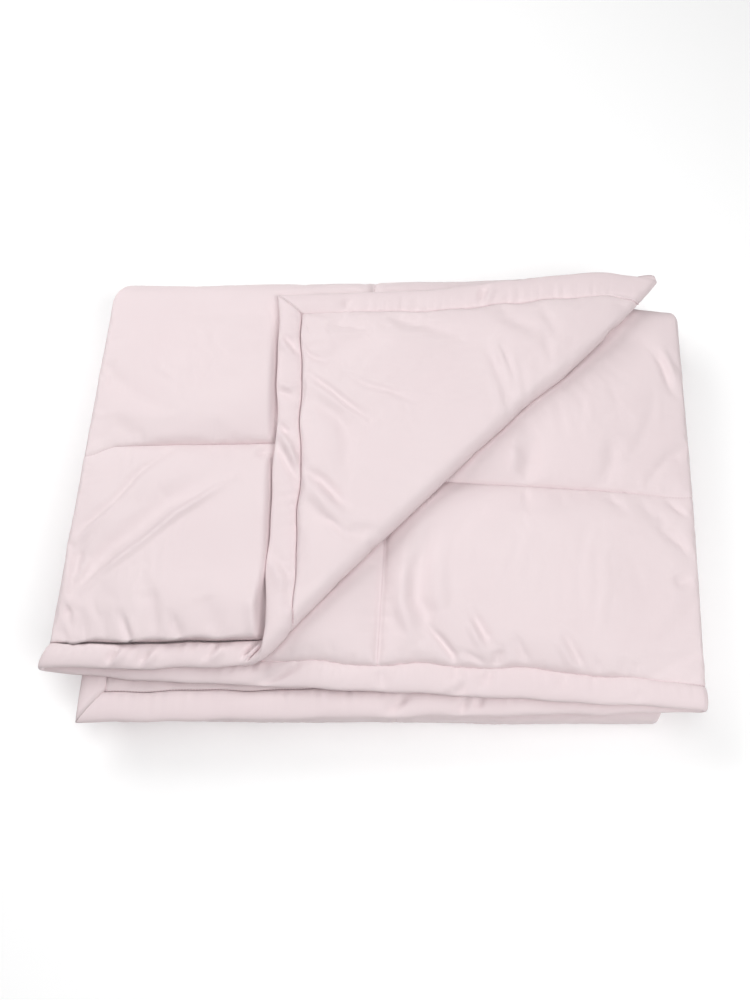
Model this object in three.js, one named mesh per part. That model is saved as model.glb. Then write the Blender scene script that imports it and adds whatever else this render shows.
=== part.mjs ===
// A quilted wool duvet, folded in three along its length and in three across its breadth,
// with the front right corner of the top layer turned back over a diagonal.
// Millimetres, +Z up: x to the right, y to the back, z = 0 under the pile.
//
// The duvet is drawn flat and then folded. Flat coordinates:
//   u runs along the length, from the end that is turned back,
//   v runs across the breadth, from the edge that lies on top at the front,
//   w runs through the thickness, from the middle of the wool towards the upper face.
import * as THREE from "three";

// Driving sizes of the flat duvet.
const LENGTH = 2000;
const BREADTH = 1400;
const BINDING = 26;
const SEAM_GAP = 0.3;
const MITRE_GAP = 0.25;

// Layers: half the thickness of one and the pitch from one to the next in the middle of the pile,
// and how much loftier or flatter they are in each third of the pile.
const HALF_THICK = 3.6;
const PITCH = 8.5;
const LOFT = { top: 1.3, middle: 1, bottom: 0.85 };

// Quilting lines on the flat duvet, whose every second line lies in a fold.
const LEFT_FOLD = 664;
const RIGHT_FOLD = 1340;
const BACK_FOLD = 469;
const FRONT_FOLD = 933;
const SEAMS_U = [345, LEFT_FOLD, 1002, RIGHT_FOLD, 1657];
const SEAMS_V = [250, BACK_FOLD, 700, FRONT_FOLD, 1166];
const PANEL_LINES_U = [BINDING, ...SEAMS_U, LENGTH - BINDING];
const PANEL_LINES_V = [BINDING, ...SEAMS_V, BREADTH - BINDING];

// Quilting relief: half the thickness on a line, how far the line draws the cloth in,
// and the swell between lines where a face lies open.
const SEAM_HALF = 1.3;
const SEAM_REACH = 34;
const CROWN_POWER = 3;
const CROWN = { top: 5, second: 3.8, corner: 3 };

// Where the sheet turns: each fold takes half a circle of the length or breadth.
const TURN_U = (Math.PI * PITCH) / 2;
const TURN_V = 38;
const LEFT_START = LEFT_FOLD - TURN_U / 2;
const LEFT_END = LEFT_FOLD + TURN_U / 2;
const RIGHT_START = RIGHT_FOLD - TURN_U / 2;
const RIGHT_END = RIGHT_FOLD + TURN_U / 2;
const BACK_START = BACK_FOLD - TURN_V / 2;
const BACK_END = BACK_FOLD + TURN_V / 2;
const FRONT_START = FRONT_FOLD - TURN_V / 2;
const FRONT_END = FRONT_FOLD + TURN_V / 2;

// Plan and levels of the pile.
const FRONT_AXIS_Y = -256;
const LAST_EDGE_Y = 186;
const TOP_LEVEL = 2 * PITCH;
const STACK = 3 * PITCH;
const FRONT_AXIS_Z = LOFT.bottom * (HALF_THICK + TOP_LEVEL + PITCH / 2);
const BACK_AXIS_Z = FRONT_AXIS_Z + LOFT.middle * STACK;
const TOP_LAYER_Z = BACK_AXIS_Z + LOFT.top * (TOP_LEVEL + PITCH / 2);

// The side folds lean a little, are rounded at the back fold and draw in round the lower front fold.
// The free end that is turned back is bowed.
const SIDES = [
  { v: 0, left: -345, right: 326, freeRight: 297, freeLeft: -316 },
  { v: 150, left: -334, right: 330.7, freeRight: 305, freeLeft: -312.7 },
  { v: 300, left: -323, right: 335.3, freeRight: 323, freeLeft: -309.3 },
  { v: 380, left: -317.1, right: 337.8, freeRight: 328, freeLeft: -307.6 },
  { v: BACK_START, left: -312, right: 340, freeRight: 316, freeLeft: -306 },
  { v: 464, left: -300, right: 333, freeRight: 304, freeLeft: -297 },
  { v: 476, left: -299, right: 332, freeRight: 292, freeLeft: -296 },
  { v: 560, left: -324, right: 334, freeRight: 294, freeLeft: -312 },
  { v: 850, left: -324, right: 328, freeRight: 316, freeLeft: -312 },
  { v: FRONT_FOLD, left: -292, right: 283, freeRight: 279, freeLeft: -286 },
  { v: 1010, left: -324, right: 326, freeRight: 316, freeLeft: -312 },
  { v: BREADTH, left: -324, right: 326, freeRight: 316, freeLeft: -312 },
];

// The three layers on top along their length: where the free front edge lies, where the axis
// of the back fold lies, and how far the middle drifts back. The second layer runs askew,
// the third stands out at the front, and the free end of the first is pulled to the back.
const LAYERS = [
  { u: 0, front: -223, back: 240, drift: 0 },
  { u: 150, front: -218, back: 212, drift: 2 },
  { u: 300, front: -220, back: 207, drift: 4 },
  { u: 410, front: -221, back: 204, drift: 4 },
  { u: 480, front: -231, back: 204, drift: 4 },
  { u: 560, front: -234, back: 204, drift: 4 },
  { u: LEFT_START, front: -236, back: 204, drift: 2 },
  { u: LEFT_END, front: -237, back: 204, drift: 0 },
  { u: 760, front: -243, back: 203, drift: -9 },
  { u: RIGHT_START, front: -270, back: 188, drift: -13 },
  { u: RIGHT_END, front: -271, back: 188, drift: -8 },
  { u: LENGTH, front: -288, back: 199, drift: 0 },
];

// The back fold is pinched in at the free end, under the tip of the turned-back corner.
const TIP_PINCH = { depth: 26, reach: 150 };

// The turned-back corner: the flat ends of its diagonal, the radius of its roll, and how it settles.
const DIAGONAL_FOOT_U = 461;
const DIAGONAL_TIP_V = 447;
const ROLL = 8.5;
const ROLL_LENGTH = Math.PI * ROLL;
const FLAP_REST = 11.5;
const FLAP_SETTLE = 70;

// Where a face starts to swell beside the turned-back corner, and where it is full.
const OPEN_TOP = { from: -10, full: 55 };
const OPEN_SECOND = { from: 18, full: 92 };

const CLOTH = new THREE.Color(0xeedde0);
const BINDING_CLOTH = new THREE.Color(0xeddade);

const smooth = THREE.MathUtils.smoothstep;
const mix = THREE.MathUtils.lerp;

// A table column read at a place between rows, straight or eased from row to row.
function read(table, at, key, place, ease = (share) => share) {
  let row = 0;
  while (row < table.length - 2 && place > table[row + 1][at]) row++;
  const low = table[row];
  const high = table[row + 1];
  return mix(low[key], high[key], ease((place - low[at]) / (high[at] - low[at])));
}

const layer = (key, u) => read(LAYERS, "u", key, u);
const eased = (share) => smooth(share, 0, 1);
const side = (key, v) => read(SIDES, "v", key, v, v > BACK_START ? eased : undefined);

// The back-and-forth section along the length: where a point lies across the pile,
// and its level above the lowest of the three layers.
function foldLength(u, v, w) {
  const left = side("left", v);
  const right = side("right", v);
  const radius = PITCH / 2;
  if (u <= LEFT_START) {
    const free = side("freeRight", v);
    return { x: mix(free, left, u / LEFT_START), level: TOP_LEVEL + w };
  }
  if (u < LEFT_END) {
    const turn = (Math.PI * (u - LEFT_START)) / TURN_U;
    return {
      x: left - (radius + w) * Math.sin(turn),
      level: TOP_LEVEL - radius + (radius + w) * Math.cos(turn),
    };
  }
  if (u <= RIGHT_START) {
    const share = (u - LEFT_END) / (RIGHT_START - LEFT_END);
    return { x: mix(left, right, share), level: PITCH - w };
  }
  if (u < RIGHT_END) {
    const turn = (Math.PI * (u - RIGHT_START)) / TURN_U;
    return {
      x: right + (radius - w) * Math.sin(turn),
      level: radius + (radius - w) * Math.cos(turn),
    };
  }
  const share = (u - RIGHT_END) / (LENGTH - RIGHT_END);
  return { x: mix(right, side("freeLeft", v), share), level: w };
}

// The fold in three across the breadth: back over the top, down round the back,
// forwards, round the front, and back along the ground.
function foldBreadth(u, v, level) {
  const backY = layer("back", u);
  const outer = PITCH / 2 + level;
  const inner = STACK - outer;
  if (v <= BACK_START) {
    const share = v / BACK_START;
    const drift = layer("drift", u) * Math.sin(Math.PI * share);
    const y = mix(layer("front", u), backY, share) + drift;
    return { y, z: BACK_AXIS_Z + LOFT.top * outer };
  }
  if (v < BACK_END) {
    const share = (v - BACK_START) / TURN_V;
    const radius = outer * mix(LOFT.top, LOFT.middle, eased(share));
    const pinch = TIP_PINCH.depth * (1 - smooth(u, 0, TIP_PINCH.reach));
    return {
      y: backY + (radius - pinch) * Math.sin(Math.PI * share),
      z: BACK_AXIS_Z + radius * Math.cos(Math.PI * share),
    };
  }
  if (v <= FRONT_START) {
    const share = (v - BACK_END) / (FRONT_START - BACK_END);
    return { y: mix(backY, FRONT_AXIS_Y, share), z: BACK_AXIS_Z - LOFT.middle * outer };
  }
  if (v < FRONT_END) {
    const share = (v - FRONT_START) / TURN_V;
    const radius = inner * mix(LOFT.middle, LOFT.bottom, eased(share));
    return {
      y: FRONT_AXIS_Y - radius * Math.sin(Math.PI * share),
      z: FRONT_AXIS_Z + radius * Math.cos(Math.PI * share),
    };
  }
  const share = (v - FRONT_END) / (BREADTH - FRONT_END);
  return { y: mix(FRONT_AXIS_Y, LAST_EDGE_Y, share), z: FRONT_AXIS_Z - LOFT.bottom * inner };
}

// Where the middle of the wool lies in plan before the corner is turned back.
function plan(u, v) {
  const { x, level } = foldLength(u, v, 0);
  return { x, y: foldBreadth(u, v, level).y };
}

// The diagonal in plan: a point's distance past it, and its place along it.
const DIAGONAL_FOOT = plan(DIAGONAL_FOOT_U, 0);
const DIAGONAL_TIP = plan(0, DIAGONAL_TIP_V);
const DIAGONAL = (() => {
  const dx = DIAGONAL_TIP.x - DIAGONAL_FOOT.x;
  const dy = DIAGONAL_TIP.y - DIAGONAL_FOOT.y;
  const length = Math.hypot(dx, dy);
  return { ax: dx / length, ay: dy / length };
})();

function pastDiagonal(x, y) {
  const dx = x - DIAGONAL_FOOT.x;
  const dy = y - DIAGONAL_FOOT.y;
  return {
    past: dx * DIAGONAL.ay - dy * DIAGONAL.ax,
    along: dx * DIAGONAL.ax + dy * DIAGONAL.ay,
  };
}

function isTopLayer(u, v) {
  return u <= LEFT_START && v <= BACK_START;
}

// How far a flat point lies past the diagonal, negative where it isn't turned back.
function turnedBack(u, v) {
  if (!isTopLayer(u, v)) return -1;
  const { x, y } = plan(u, v);
  return pastDiagonal(x, y).past;
}

// The turned-back corner rolls over the diagonal on half a circle, then settles flat.
function rollBack(x, y, w) {
  const { past, along } = pastDiagonal(x, y);
  const turn = Math.min(past / ROLL, Math.PI);
  const beyond = Math.max(past - ROLL_LENGTH, 0);
  const settle = (2 * ROLL - FLAP_REST) * smooth(beyond, 0, FLAP_SETTLE);
  const radius = ROLL - LOFT.top * w;
  const across = radius * Math.sin(turn) - beyond;
  return new THREE.Vector3(
    DIAGONAL_FOOT.x + DIAGONAL.ax * along + DIAGONAL.ay * across,
    DIAGONAL_FOOT.y + DIAGONAL.ay * along - DIAGONAL.ax * across,
    TOP_LAYER_Z + ROLL - radius * Math.cos(turn) - settle,
  );
}

// A flat point folded into the pile.
function fold(u, v, w) {
  const { x, level } = foldLength(u, v, w);
  const { y, z } = foldBreadth(u, v, level);
  return turnedBack(u, v) > 0 ? rollBack(x, y, w) : new THREE.Vector3(x, y, z);
}

// Distance to the nearest quilting line, and the rise of the crown between the lines.
function nearestLine(lines, at) {
  return Math.min(...lines.map((line) => Math.abs(at - line)));
}

function crownAlong(lines, at) {
  const next = Math.max(1, lines.findIndex((line) => line >= at));
  const share = (at - lines[next - 1]) / (lines[next] - lines[next - 1]);
  return 1 - Math.abs(2 * share - 1) ** CROWN_POWER;
}

function crown(u, v) {
  return Math.max(0, crownAlong(PANEL_LINES_U, u) * crownAlong(PANEL_LINES_V, v));
}

function flatHalf(u, v) {
  const line = Math.min(nearestLine(PANEL_LINES_U, u), nearestLine(PANEL_LINES_V, v));
  const share = Math.sqrt(Math.min(line / SEAM_REACH, 1));
  return mix(SEAM_HALF, HALF_THICK, share);
}

// The upper face swells where the top layer lies open, to the left of the turned-back corner.
function upperHalf(u, v) {
  if (!isTopLayer(u, v)) return flatHalf(u, v);
  const open = smooth(DIAGONAL_FOOT.x - plan(u, v).x, OPEN_TOP.from, OPEN_TOP.full);
  return flatHalf(u, v) + CROWN.top * open * crown(u, v);
}

// The under face swells where it shows: on the turned-back corner, and on the second layer
// in front of the diagonal. On the ground it is pressed flat.
function lowerHalf(u, v) {
  const turned = turnedBack(u, v);
  if (turned > 0) {
    const open = smooth(turned, ROLL_LENGTH, ROLL_LENGTH + FLAP_SETTLE);
    return flatHalf(u, v) + CROWN.corner * open * crown(u, v);
  }
  if (u > LEFT_END && u < RIGHT_START && v < BACK_START) {
    const { x, y } = plan(u, v);
    const open = smooth(pastDiagonal(x, y).past, OPEN_SECOND.from, OPEN_SECOND.full);
    return flatHalf(u, v) + CROWN.second * open * crown(u, v);
  }
  if (u > RIGHT_END && v > FRONT_END) {
    const inside = Math.min(LENGTH - BINDING - u, BREADTH - BINDING - v);
    return mix(SEAM_HALF, HALF_THICK, Math.min(inside / SEAM_REACH, 1));
  }
  return flatHalf(u, v);
}

// Stations along the flat duvet: each stretch runs to its end in even steps.
function stations(first, stretches) {
  const places = [first];
  for (const { to, count } of stretches) {
    const from = places.at(-1);
    for (let i = 1; i <= count; i++) places.push(mix(from, to, i / count));
  }
  return places;
}

// A stretch up to a quilting line, and the two short ones that draw the line.
const LINE_WIDTH = 9;

function toSeam(line, count, width = LINE_WIDTH) {
  return [
    { to: line - width, count },
    { to: line, count: 1 },
    { to: line + width, count: 1 },
  ];
}

// Columns of the second and third layers, with the two side folds before and between them.
const SIDE_TURN_STEPS = 5;
const LOWER_COLUMNS = stations(LEFT_START, [
  { to: LEFT_END, count: SIDE_TURN_STEPS },
  ...toSeam(SEAMS_U[2], 6),
  { to: RIGHT_START, count: 6 },
  { to: RIGHT_END, count: SIDE_TURN_STEPS },
  ...toSeam(SEAMS_U[4], 4),
  { to: LENGTH - BINDING, count: 4 },
]);

// Columns of the top layer, as shares of the way from its free side to the left fold.
const TOP_SPAN = LEFT_START - BINDING;
const TOP_SHARES = stations(0, [
  ...toSeam((SEAMS_U[0] - BINDING) / TOP_SPAN, 5, LINE_WIDTH / TOP_SPAN),
  { to: 1, count: 6 },
]);

// Rows of the third on top, up to the end of the diagonal, and of all that follows.
const DIAGONAL_ROWS_END = 405;
const TOP_ROWS = stations(BINDING, [
  ...toSeam(SEAMS_V[0], 5),
  { to: DIAGONAL_ROWS_END, count: 4 },
]);
const DEEP_TURN_STEPS = 6;
const FOLDED_ROWS = stations(BACK_START, [
  { to: BACK_END, count: DEEP_TURN_STEPS },
  ...toSeam(SEAMS_V[2], 3),
  { to: FRONT_START, count: 3 },
  { to: FRONT_END, count: DEEP_TURN_STEPS },
  ...toSeam(SEAMS_V[4], 3),
  { to: BREADTH - BINDING, count: 3 },
]);

// The value between two bounds at which a test that holds at the low bound stops holding.
function lastHolding(low, high, holds) {
  for (let i = 0; i < 50; i++) {
    const middle = (low + high) / 2;
    if (holds(middle)) low = middle;
    else high = middle;
  }
  return low;
}

// The flat place on a line parallel to the diagonal, `past` beyond it, at breadth v.
function besideDiagonal(past, v) {
  return lastHolding(-2 * BINDING, LEFT_START, (u) => turnedBack(u, v) > past);
}

// The breadth at which such a line reaches the binding of the free end.
function reachEnd(past) {
  return lastHolding(0, BACK_START, (v) => turnedBack(BINDING, v) > past);
}

const DIAGONAL_END = reachEnd(0);
const CORNER_PAST = turnedBack(BINDING, BINDING);
const LAST_LINE = 0.85 * CORNER_PAST;
const FLAP_PASTS = stations(0, [
  { to: ROLL_LENGTH, count: 5 },
  { to: LAST_LINE, count: 6 },
]);

const MAIN_ROWS = [...TOP_ROWS, DIAGONAL_END, ...FOLDED_ROWS];

// The flat net: one row of points for each breadth, from the free end to the other end.
const MAIN_NET = MAIN_ROWS.map((v) => {
  const first = v < DIAGONAL_END ? besideDiagonal(0, v) : BINDING;
  const top = TOP_SHARES.map((share) => mix(first, LEFT_START, share));
  return [...top, ...LOWER_COLUMNS.slice(1)].map((u) => [u, v]);
});

// The net of the turned-back corner: lines parallel to the diagonal, closing on the corner.
const FLAP_SHARES = [...TOP_ROWS, DIAGONAL_END].map(
  (v) => (v - BINDING) / (DIAGONAL_END - BINDING),
);
const FLAP_NET = FLAP_SHARES.map((share) => {
  const line = FLAP_PASTS.map((past) => {
    const v = mix(BINDING, reachEnd(past), share);
    return [besideDiagonal(past, v), v];
  });
  return [...line, [BINDING, BINDING]];
});

function meshOf(name, positions, triangles, color) {
  const geometry = new THREE.BufferGeometry();
  geometry.setAttribute("position", new THREE.Float32BufferAttribute(positions, 3));
  geometry.setIndex(triangles);
  geometry.computeVertexNormals();
  const material = new THREE.MeshStandardMaterial({ color, roughness: 0.75, metalness: 0 });
  const mesh = new THREE.Mesh(geometry, material);
  mesh.name = name;
  return mesh;
}

// A closed quilted solid on flat nets: both faces, and a rim along each edge that one cell has.
function quiltedSolid(name, nets, color) {
  const places = new Map();
  const flat = [];
  const indexOf = ([u, v]) => {
    const key = `${u.toFixed(3)} ${v.toFixed(3)}`;
    if (!places.has(key)) {
      places.set(key, flat.length);
      flat.push([u, v]);
    }
    return places.get(key);
  };
  const cells = [];
  for (const { net, turned } of nets) {
    for (let row = 0; row + 1 < net.length; row++) {
      for (let i = 0; i + 1 < net[row].length; i++) {
        const corners = [net[row][i], net[row + 1][i], net[row + 1][i + 1], net[row][i + 1]];
        const ring = corners.map(indexOf).filter((at, k, all) => all.indexOf(at) === k);
        if (ring.length > 2) cells.push(turned ? ring.reverse() : ring);
      }
    }
  }
  const positions = [];
  for (const [u, v] of flat) positions.push(...fold(u, v, upperHalf(u, v)));
  for (const [u, v] of flat) positions.push(...fold(u, v, -lowerHalf(u, v)));
  const under = flat.length;
  const triangles = [];
  const edges = new Map();
  for (const ring of cells) {
    for (let k = 1; k + 1 < ring.length; k++) {
      triangles.push(ring[0], ring[k + 1], ring[k]);
      triangles.push(under + ring[0], under + ring[k], under + ring[k + 1]);
    }
    ring.forEach((a, k) => {
      const b = ring[(k + 1) % ring.length];
      if (!edges.delete(`${b} ${a}`)) edges.set(`${a} ${b}`, [a, b]);
    });
  }
  for (const [a, b] of edges.values()) {
    triangles.push(a, b, under + b, a, under + b, under + a);
  }
  return meshOf(name, positions, triangles, color);
}

// Section of the folded binding: distance out from its seam, and half its thickness there.
const BINDING_SECTION = [
  { out: SEAM_GAP, half: 1.3 },
  { out: 5, half: 3.1 },
  { out: 13, half: HALF_THICK },
  { out: 21, half: 2.9 },
  { out: BINDING, half: 0.9 },
];

// A closed strip of binding: its section carried along stations on the flat edge.
function bindingStrip({ name, stations, flatPlace, turned }) {
  const section = [
    ...BINDING_SECTION.map(({ out, half }) => [out, half]),
    ...BINDING_SECTION.toReversed().map(({ out, half }) => [out, -half]),
  ];
  const size = section.length;
  const positions = [];
  for (const { at, slope } of stations) {
    for (const [out, w] of section) {
      const [u, v] = flatPlace(at + slope * out, out);
      positions.push(...fold(u, v, w));
    }
  }
  const triangles = [];
  const addTriangle = (a, b, c) => triangles.push(a, ...(turned ? [c, b] : [b, c]));
  for (let s = 0; s + 1 < stations.length; s++) {
    for (let k = 0; k < size; k++) {
      const a = s * size + k;
      const b = s * size + ((k + 1) % size);
      addTriangle(a, b, b + size);
      addTriangle(a, b + size, a + size);
    }
  }
  const last = (stations.length - 1) * size;
  for (let k = 0; k + 1 < size / 2; k++) {
    const low = size - 1 - k;
    addTriangle(k, low, k + 1);
    addTriangle(k + 1, low, low - 1);
    addTriangle(last + k, last + k + 1, last + low);
    addTriangle(last + k + 1, last + low - 1, last + low);
  }
  return meshOf(name, positions, triangles, BINDING_CLOTH);
}

// Stations along one edge: the seam's own points, slanted beside the diagonal and mitred at the ends.
function edgeStations(inner, edgeLength) {
  const first = { at: BINDING + MITRE_GAP, slope: -1 };
  const last = { at: edgeLength - BINDING - MITRE_GAP, slope: 1 };
  return [first, ...inner, last];
}

const straight = (places) => places.map((at) => ({ at, slope: 0 }));
const FLAP_SLANT_END = 0.5 * CORNER_PAST;
const slantOnFlap = (past) => 1 - smooth(past, ROLL_LENGTH, FLAP_SLANT_END);
const flapStations = (reach) =>
  FLAP_PASTS.toReversed().map((past) => ({ at: reach(past), slope: slantOnFlap(past) }));

const FRONT_STATIONS = edgeStations(
  [
    ...flapStations((past) => besideDiagonal(past, BINDING)).slice(0, -1),
    ...TOP_SHARES.map((share, i) => ({ at: MAIN_NET[0][i][0], slope: 1 - share })),
    ...straight(LOWER_COLUMNS.slice(1, -1)),
  ],
  LENGTH,
);

const TIP_SLANT_REACH = 60;
const FREE_END_STATIONS = edgeStations(
  [
    ...flapStations(reachEnd).slice(0, -1),
    ...[DIAGONAL_END, ...FOLDED_ROWS.slice(0, -1)].map((at) => ({
      at,
      slope: Math.max(0, 1 - (at - DIAGONAL_END) / TIP_SLANT_REACH),
    })),
  ],
  BREADTH,
);

const FAR_END_STATIONS = edgeStations(straight(MAIN_ROWS.slice(1, -1)), BREADTH);
const LAST_EDGE_STATIONS = edgeStations(
  straight(MAIN_NET.at(-1).slice(1, -1).map(([u]) => u)),
  LENGTH,
);

const BINDING_STRIPS = [
  {
    name: "binding_front",
    stations: FRONT_STATIONS,
    flatPlace: (at, out) => [at, BINDING - out],
    turned: true,
  },
  {
    name: "binding_turned_end",
    stations: FREE_END_STATIONS,
    flatPlace: (at, out) => [BINDING - out, at],
    turned: false,
  },
  {
    name: "binding_inner_end",
    stations: FAR_END_STATIONS,
    flatPlace: (at, out) => [LENGTH - BINDING + out, at],
    turned: true,
  },
  {
    name: "binding_under",
    stations: LAST_EDGE_STATIONS,
    flatPlace: (at, out) => [at, BREADTH - BINDING + out],
    turned: false,
  },
];

const duvet = new THREE.Group();
const nets = [
  { net: MAIN_NET, turned: true },
  { net: FLAP_NET, turned: false },
];
duvet.add(quiltedSolid("quilted_body", nets, CLOTH));
for (const strip of BINDING_STRIPS) duvet.add(bindingStrip(strip));

// The origin lies under the middle of the pile.
const middle = new THREE.Box3().setFromObject(duvet).getCenter(new THREE.Vector3());
duvet.position.set(-middle.x, -middle.y, 0);

export default duvet;
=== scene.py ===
"""A quilted wool duvet, folded in three along its length and in three across its breadth.

One corner is turned back. The duvet is drawn flat and then folded. Flat coordinates are in
millimetres: u runs along the length from the end that is turned back, v across the breadth from the
edge that lies on top at the front, and w through the thickness from the middle of the wool towards
the upper face. The folded points are put into the part's frame in metres.
"""

import bmesh
import bpy
import numpy as np
from mathutils import Matrix, Vector


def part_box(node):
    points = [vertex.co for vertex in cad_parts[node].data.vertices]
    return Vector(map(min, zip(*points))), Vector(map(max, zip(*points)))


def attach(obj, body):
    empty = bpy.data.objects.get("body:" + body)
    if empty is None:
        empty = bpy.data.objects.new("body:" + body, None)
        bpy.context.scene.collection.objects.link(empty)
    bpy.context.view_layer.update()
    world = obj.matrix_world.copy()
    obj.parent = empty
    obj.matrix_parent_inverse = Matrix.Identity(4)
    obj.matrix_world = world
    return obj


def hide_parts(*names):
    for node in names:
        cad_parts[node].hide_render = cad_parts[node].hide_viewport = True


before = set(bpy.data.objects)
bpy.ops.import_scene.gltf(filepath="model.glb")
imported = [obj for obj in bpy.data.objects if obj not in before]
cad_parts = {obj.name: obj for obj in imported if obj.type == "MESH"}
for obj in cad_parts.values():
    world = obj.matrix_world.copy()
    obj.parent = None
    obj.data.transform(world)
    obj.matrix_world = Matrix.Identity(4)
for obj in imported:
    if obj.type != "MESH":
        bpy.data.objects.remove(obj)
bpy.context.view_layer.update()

# Sizes of the flat duvet, in millimetres.
MM = 0.001
LENGTH = 2000.0
BREADTH = 1400.0
BINDING = 26.0

# Layers: half the thickness of one, the pitch from one to the next, and their loft in each third
# of the pile.
HALF_THICK = 3.6
PITCH = 8.5
LOFT_TOP = 1.3
LOFT_MIDDLE = 1.0
LOFT_BOTTOM = 0.85

# Quilting lines: every second one lies in a fold, and the others are counted from the first edge.
LEFT_FOLD = 664.0
RIGHT_FOLD = 1340.0
BACK_FOLD = 469.0
FRONT_FOLD = 933.0
FIRST_LINE = 345.0
SECOND_LINE = 1002.0
THIRD_LINE = 1657.0
CROSS_LINE = 250.0
SECOND_CROSS_LINE = 700.0
THIRD_CROSS_LINE = 1166.0
LINES_U = np.array(
    [BINDING, FIRST_LINE, LEFT_FOLD, SECOND_LINE, RIGHT_FOLD, THIRD_LINE, LENGTH - BINDING]
)
LINES_V = np.array(
    [BINDING, CROSS_LINE, BACK_FOLD, SECOND_CROSS_LINE, FRONT_FOLD, THIRD_CROSS_LINE, BREADTH - BINDING]
)

# Each fold takes half a circle of the length or breadth.
TURN_U = np.pi * PITCH / 2
TURN_V = 38.0
LEFT_START, LEFT_END = LEFT_FOLD - TURN_U / 2, LEFT_FOLD + TURN_U / 2
RIGHT_START, RIGHT_END = RIGHT_FOLD - TURN_U / 2, RIGHT_FOLD + TURN_U / 2
BACK_START, BACK_END = BACK_FOLD - TURN_V / 2, BACK_FOLD + TURN_V / 2
FRONT_START, FRONT_END = FRONT_FOLD - TURN_V / 2, FRONT_FOLD + TURN_V / 2

# Plan and levels of the pile.
FRONT_AXIS_Y = -256.0
LAST_EDGE_Y = 186.0
TOP_LEVEL = 2 * PITCH
STACK = 3 * PITCH
FRONT_AXIS_Z = LOFT_BOTTOM * (HALF_THICK + TOP_LEVEL + PITCH / 2)
BACK_AXIS_Z = FRONT_AXIS_Z + LOFT_MIDDLE * STACK
TOP_LAYER_Z = BACK_AXIS_Z + LOFT_TOP * (TOP_LEVEL + PITCH / 2)

# Where the left and right folds and the two free ends lie at a breadth v.
SIDES = {
    "v": (0, 26, 150, 300, 380, BACK_START, 464, 476, 560, 850, FRONT_FOLD, 1010, BREADTH),
    "left": (-352, -342.5, -334, -323, -317.1, -312, -297, -295, -324, -324, -292, -324, -324),
    "right": (326, 326.8, 330.7, 334, 335, 336, 333, 332, 334, 328, 283, 326, 326),
    "free_right": (297, 298.4, 305, 323, 328, 316, 304, 292, 294, 316, 279, 316, 316),
    "free_left": (-318, -317, -312.7, -309.3, -307.6, -306, -297, -296, -312, -312, -286, -312, -312),
}

# The three layers along the length u: the free front edge, the axis of the back fold, and the
# drift of the middle.
LAYERS = {
    "u": (
        0, 150, 300, 410, 480, 560, LEFT_START, LEFT_END, 760, 1070, 1275, RIGHT_START, RIGHT_END,
        1400, LENGTH,
    ),
    "front": (-223, -218, -220, -221, -231, -234, -232, -234, -243, -256, -267, -270, -271, -272, -285.5),
    "back": (240, 212, 207, 204, 204, 204, 204, 204, 203, 197, 190, 182, 182, 189, 199),
    "drift": (0, 2, 4, 6, 7.5, 7.5, 4, 0, -11, -17, -20, -22, -17, -8, 0),
}

# How far the corners of these columns are rounded to each side.
ROUND_SIDES = 9
ROUND_LAYERS = 44

# The back fold is pinched in and leans in at the free end, under the tip of the turned-back
# corner, and drops there; the shares are of the way round the fold.
TIP_PINCH = 26.0
TIP_PINCH_REACH = 150.0
TIP_LEAN = 20.0
LEAN_FROM = 0.35
END_PINCH = 8.0
END_DROP = 16.0
END_PINCH_REACH = 60.0
DROP_FULL = 0.3
DROP_FADE = (0.4, 0.9)

# Where a binding is pressed flat its seam lies further in: the share of that from the edge inwards,
# and how far it lies in along the front edge and along the turned-back end.
PRESSED_AT = (0.0, BINDING, 130.0)
PRESSED_SHARE = (0, 1, 0)
PRESSED_FRONT = {
    "u": (
        0, 150, 250, 385, 440, 475, 545, 585, 615, 635, 655, 800, 1000, 1137, 1205, 1297, 1335,
        1420, 1520,
    ),
    "by": (0, 2, 5, 5, 0, 1.5, 2.2, 1.6, 0.2, -0.6, 1.5, 1, 4, 8, 6, 3.5, 2.5, 0, 4),
}
PRESSED_END = {"v": (0, 120, 200, 430, 480), "by": (0, 1.5, 4.5, 5, 0)}

# The seams wander a little; each wander is a sum of this many waves.
SEAM_WANDER = 1.1
SEAM_WANDER_LENGTHS = (45.0, 140.0)
FRONT_SEED = 21
END_SEED = 22
WAVES = 6

# The turned-back corner: the flat ends of its diagonal, the radius of its roll, which is tighter at
# both ends, and how it settles.
FOOT_U = 454.0
TIP_V = 447.0
ROLL = 8.5
ROLLS = {"along": (0, 60, 480, 658), "radius": (6.5, ROLL, ROLL, 4.5)}
ROLL_LENGTH = np.pi * ROLL
FLAP_REST = 11.5
FLAP_SETTLE = 70.0

# The turned-back edge isn't quite straight: how far it lies outside the diagonal, along it.
BOW = {
    "along": (0, 25, 44, 75, 135, 225, 334, 440, 475, 544, 590, 618, 653),
    "by": (2, 4.5, 3.8, 0.9, -1.3, -2.3, -3.9, -2.5, 1.5, 3.4, 2.8, 2.8, 0.5),
}
BOW_REACH = 60.0


def ease(value, low, high):
    """Zero below low, one above high, and the cubic 3s^2 - 2s^3 between them."""
    share = np.clip((value - low) / (high - low), 0, 1)
    return share * share * (3 - 2 * share)


def rounded(column, reach):
    """A column on an even scale, its corners rounded by a running mean with a bell-shaped weight."""
    weight = np.hanning(2 * reach + 3)[1:-1]
    padded = np.pad(column, reach, mode="edge")
    return np.convolve(padded, weight / weight.sum(), mode="valid")


def ripple(along, seed, lengths):
    """A sum of seeded sine waves, their lengths drawn evenly between two bounds, about one high."""
    maker = np.random.default_rng(seed)
    spans = maker.uniform(*lengths, WAVES)
    starts = maker.uniform(0, 2 * np.pi, WAVES)
    waves = (np.sin(2 * np.pi * along / span + start) for span, start in zip(spans, starts))
    return sum(waves) / np.sqrt(WAVES)


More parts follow.
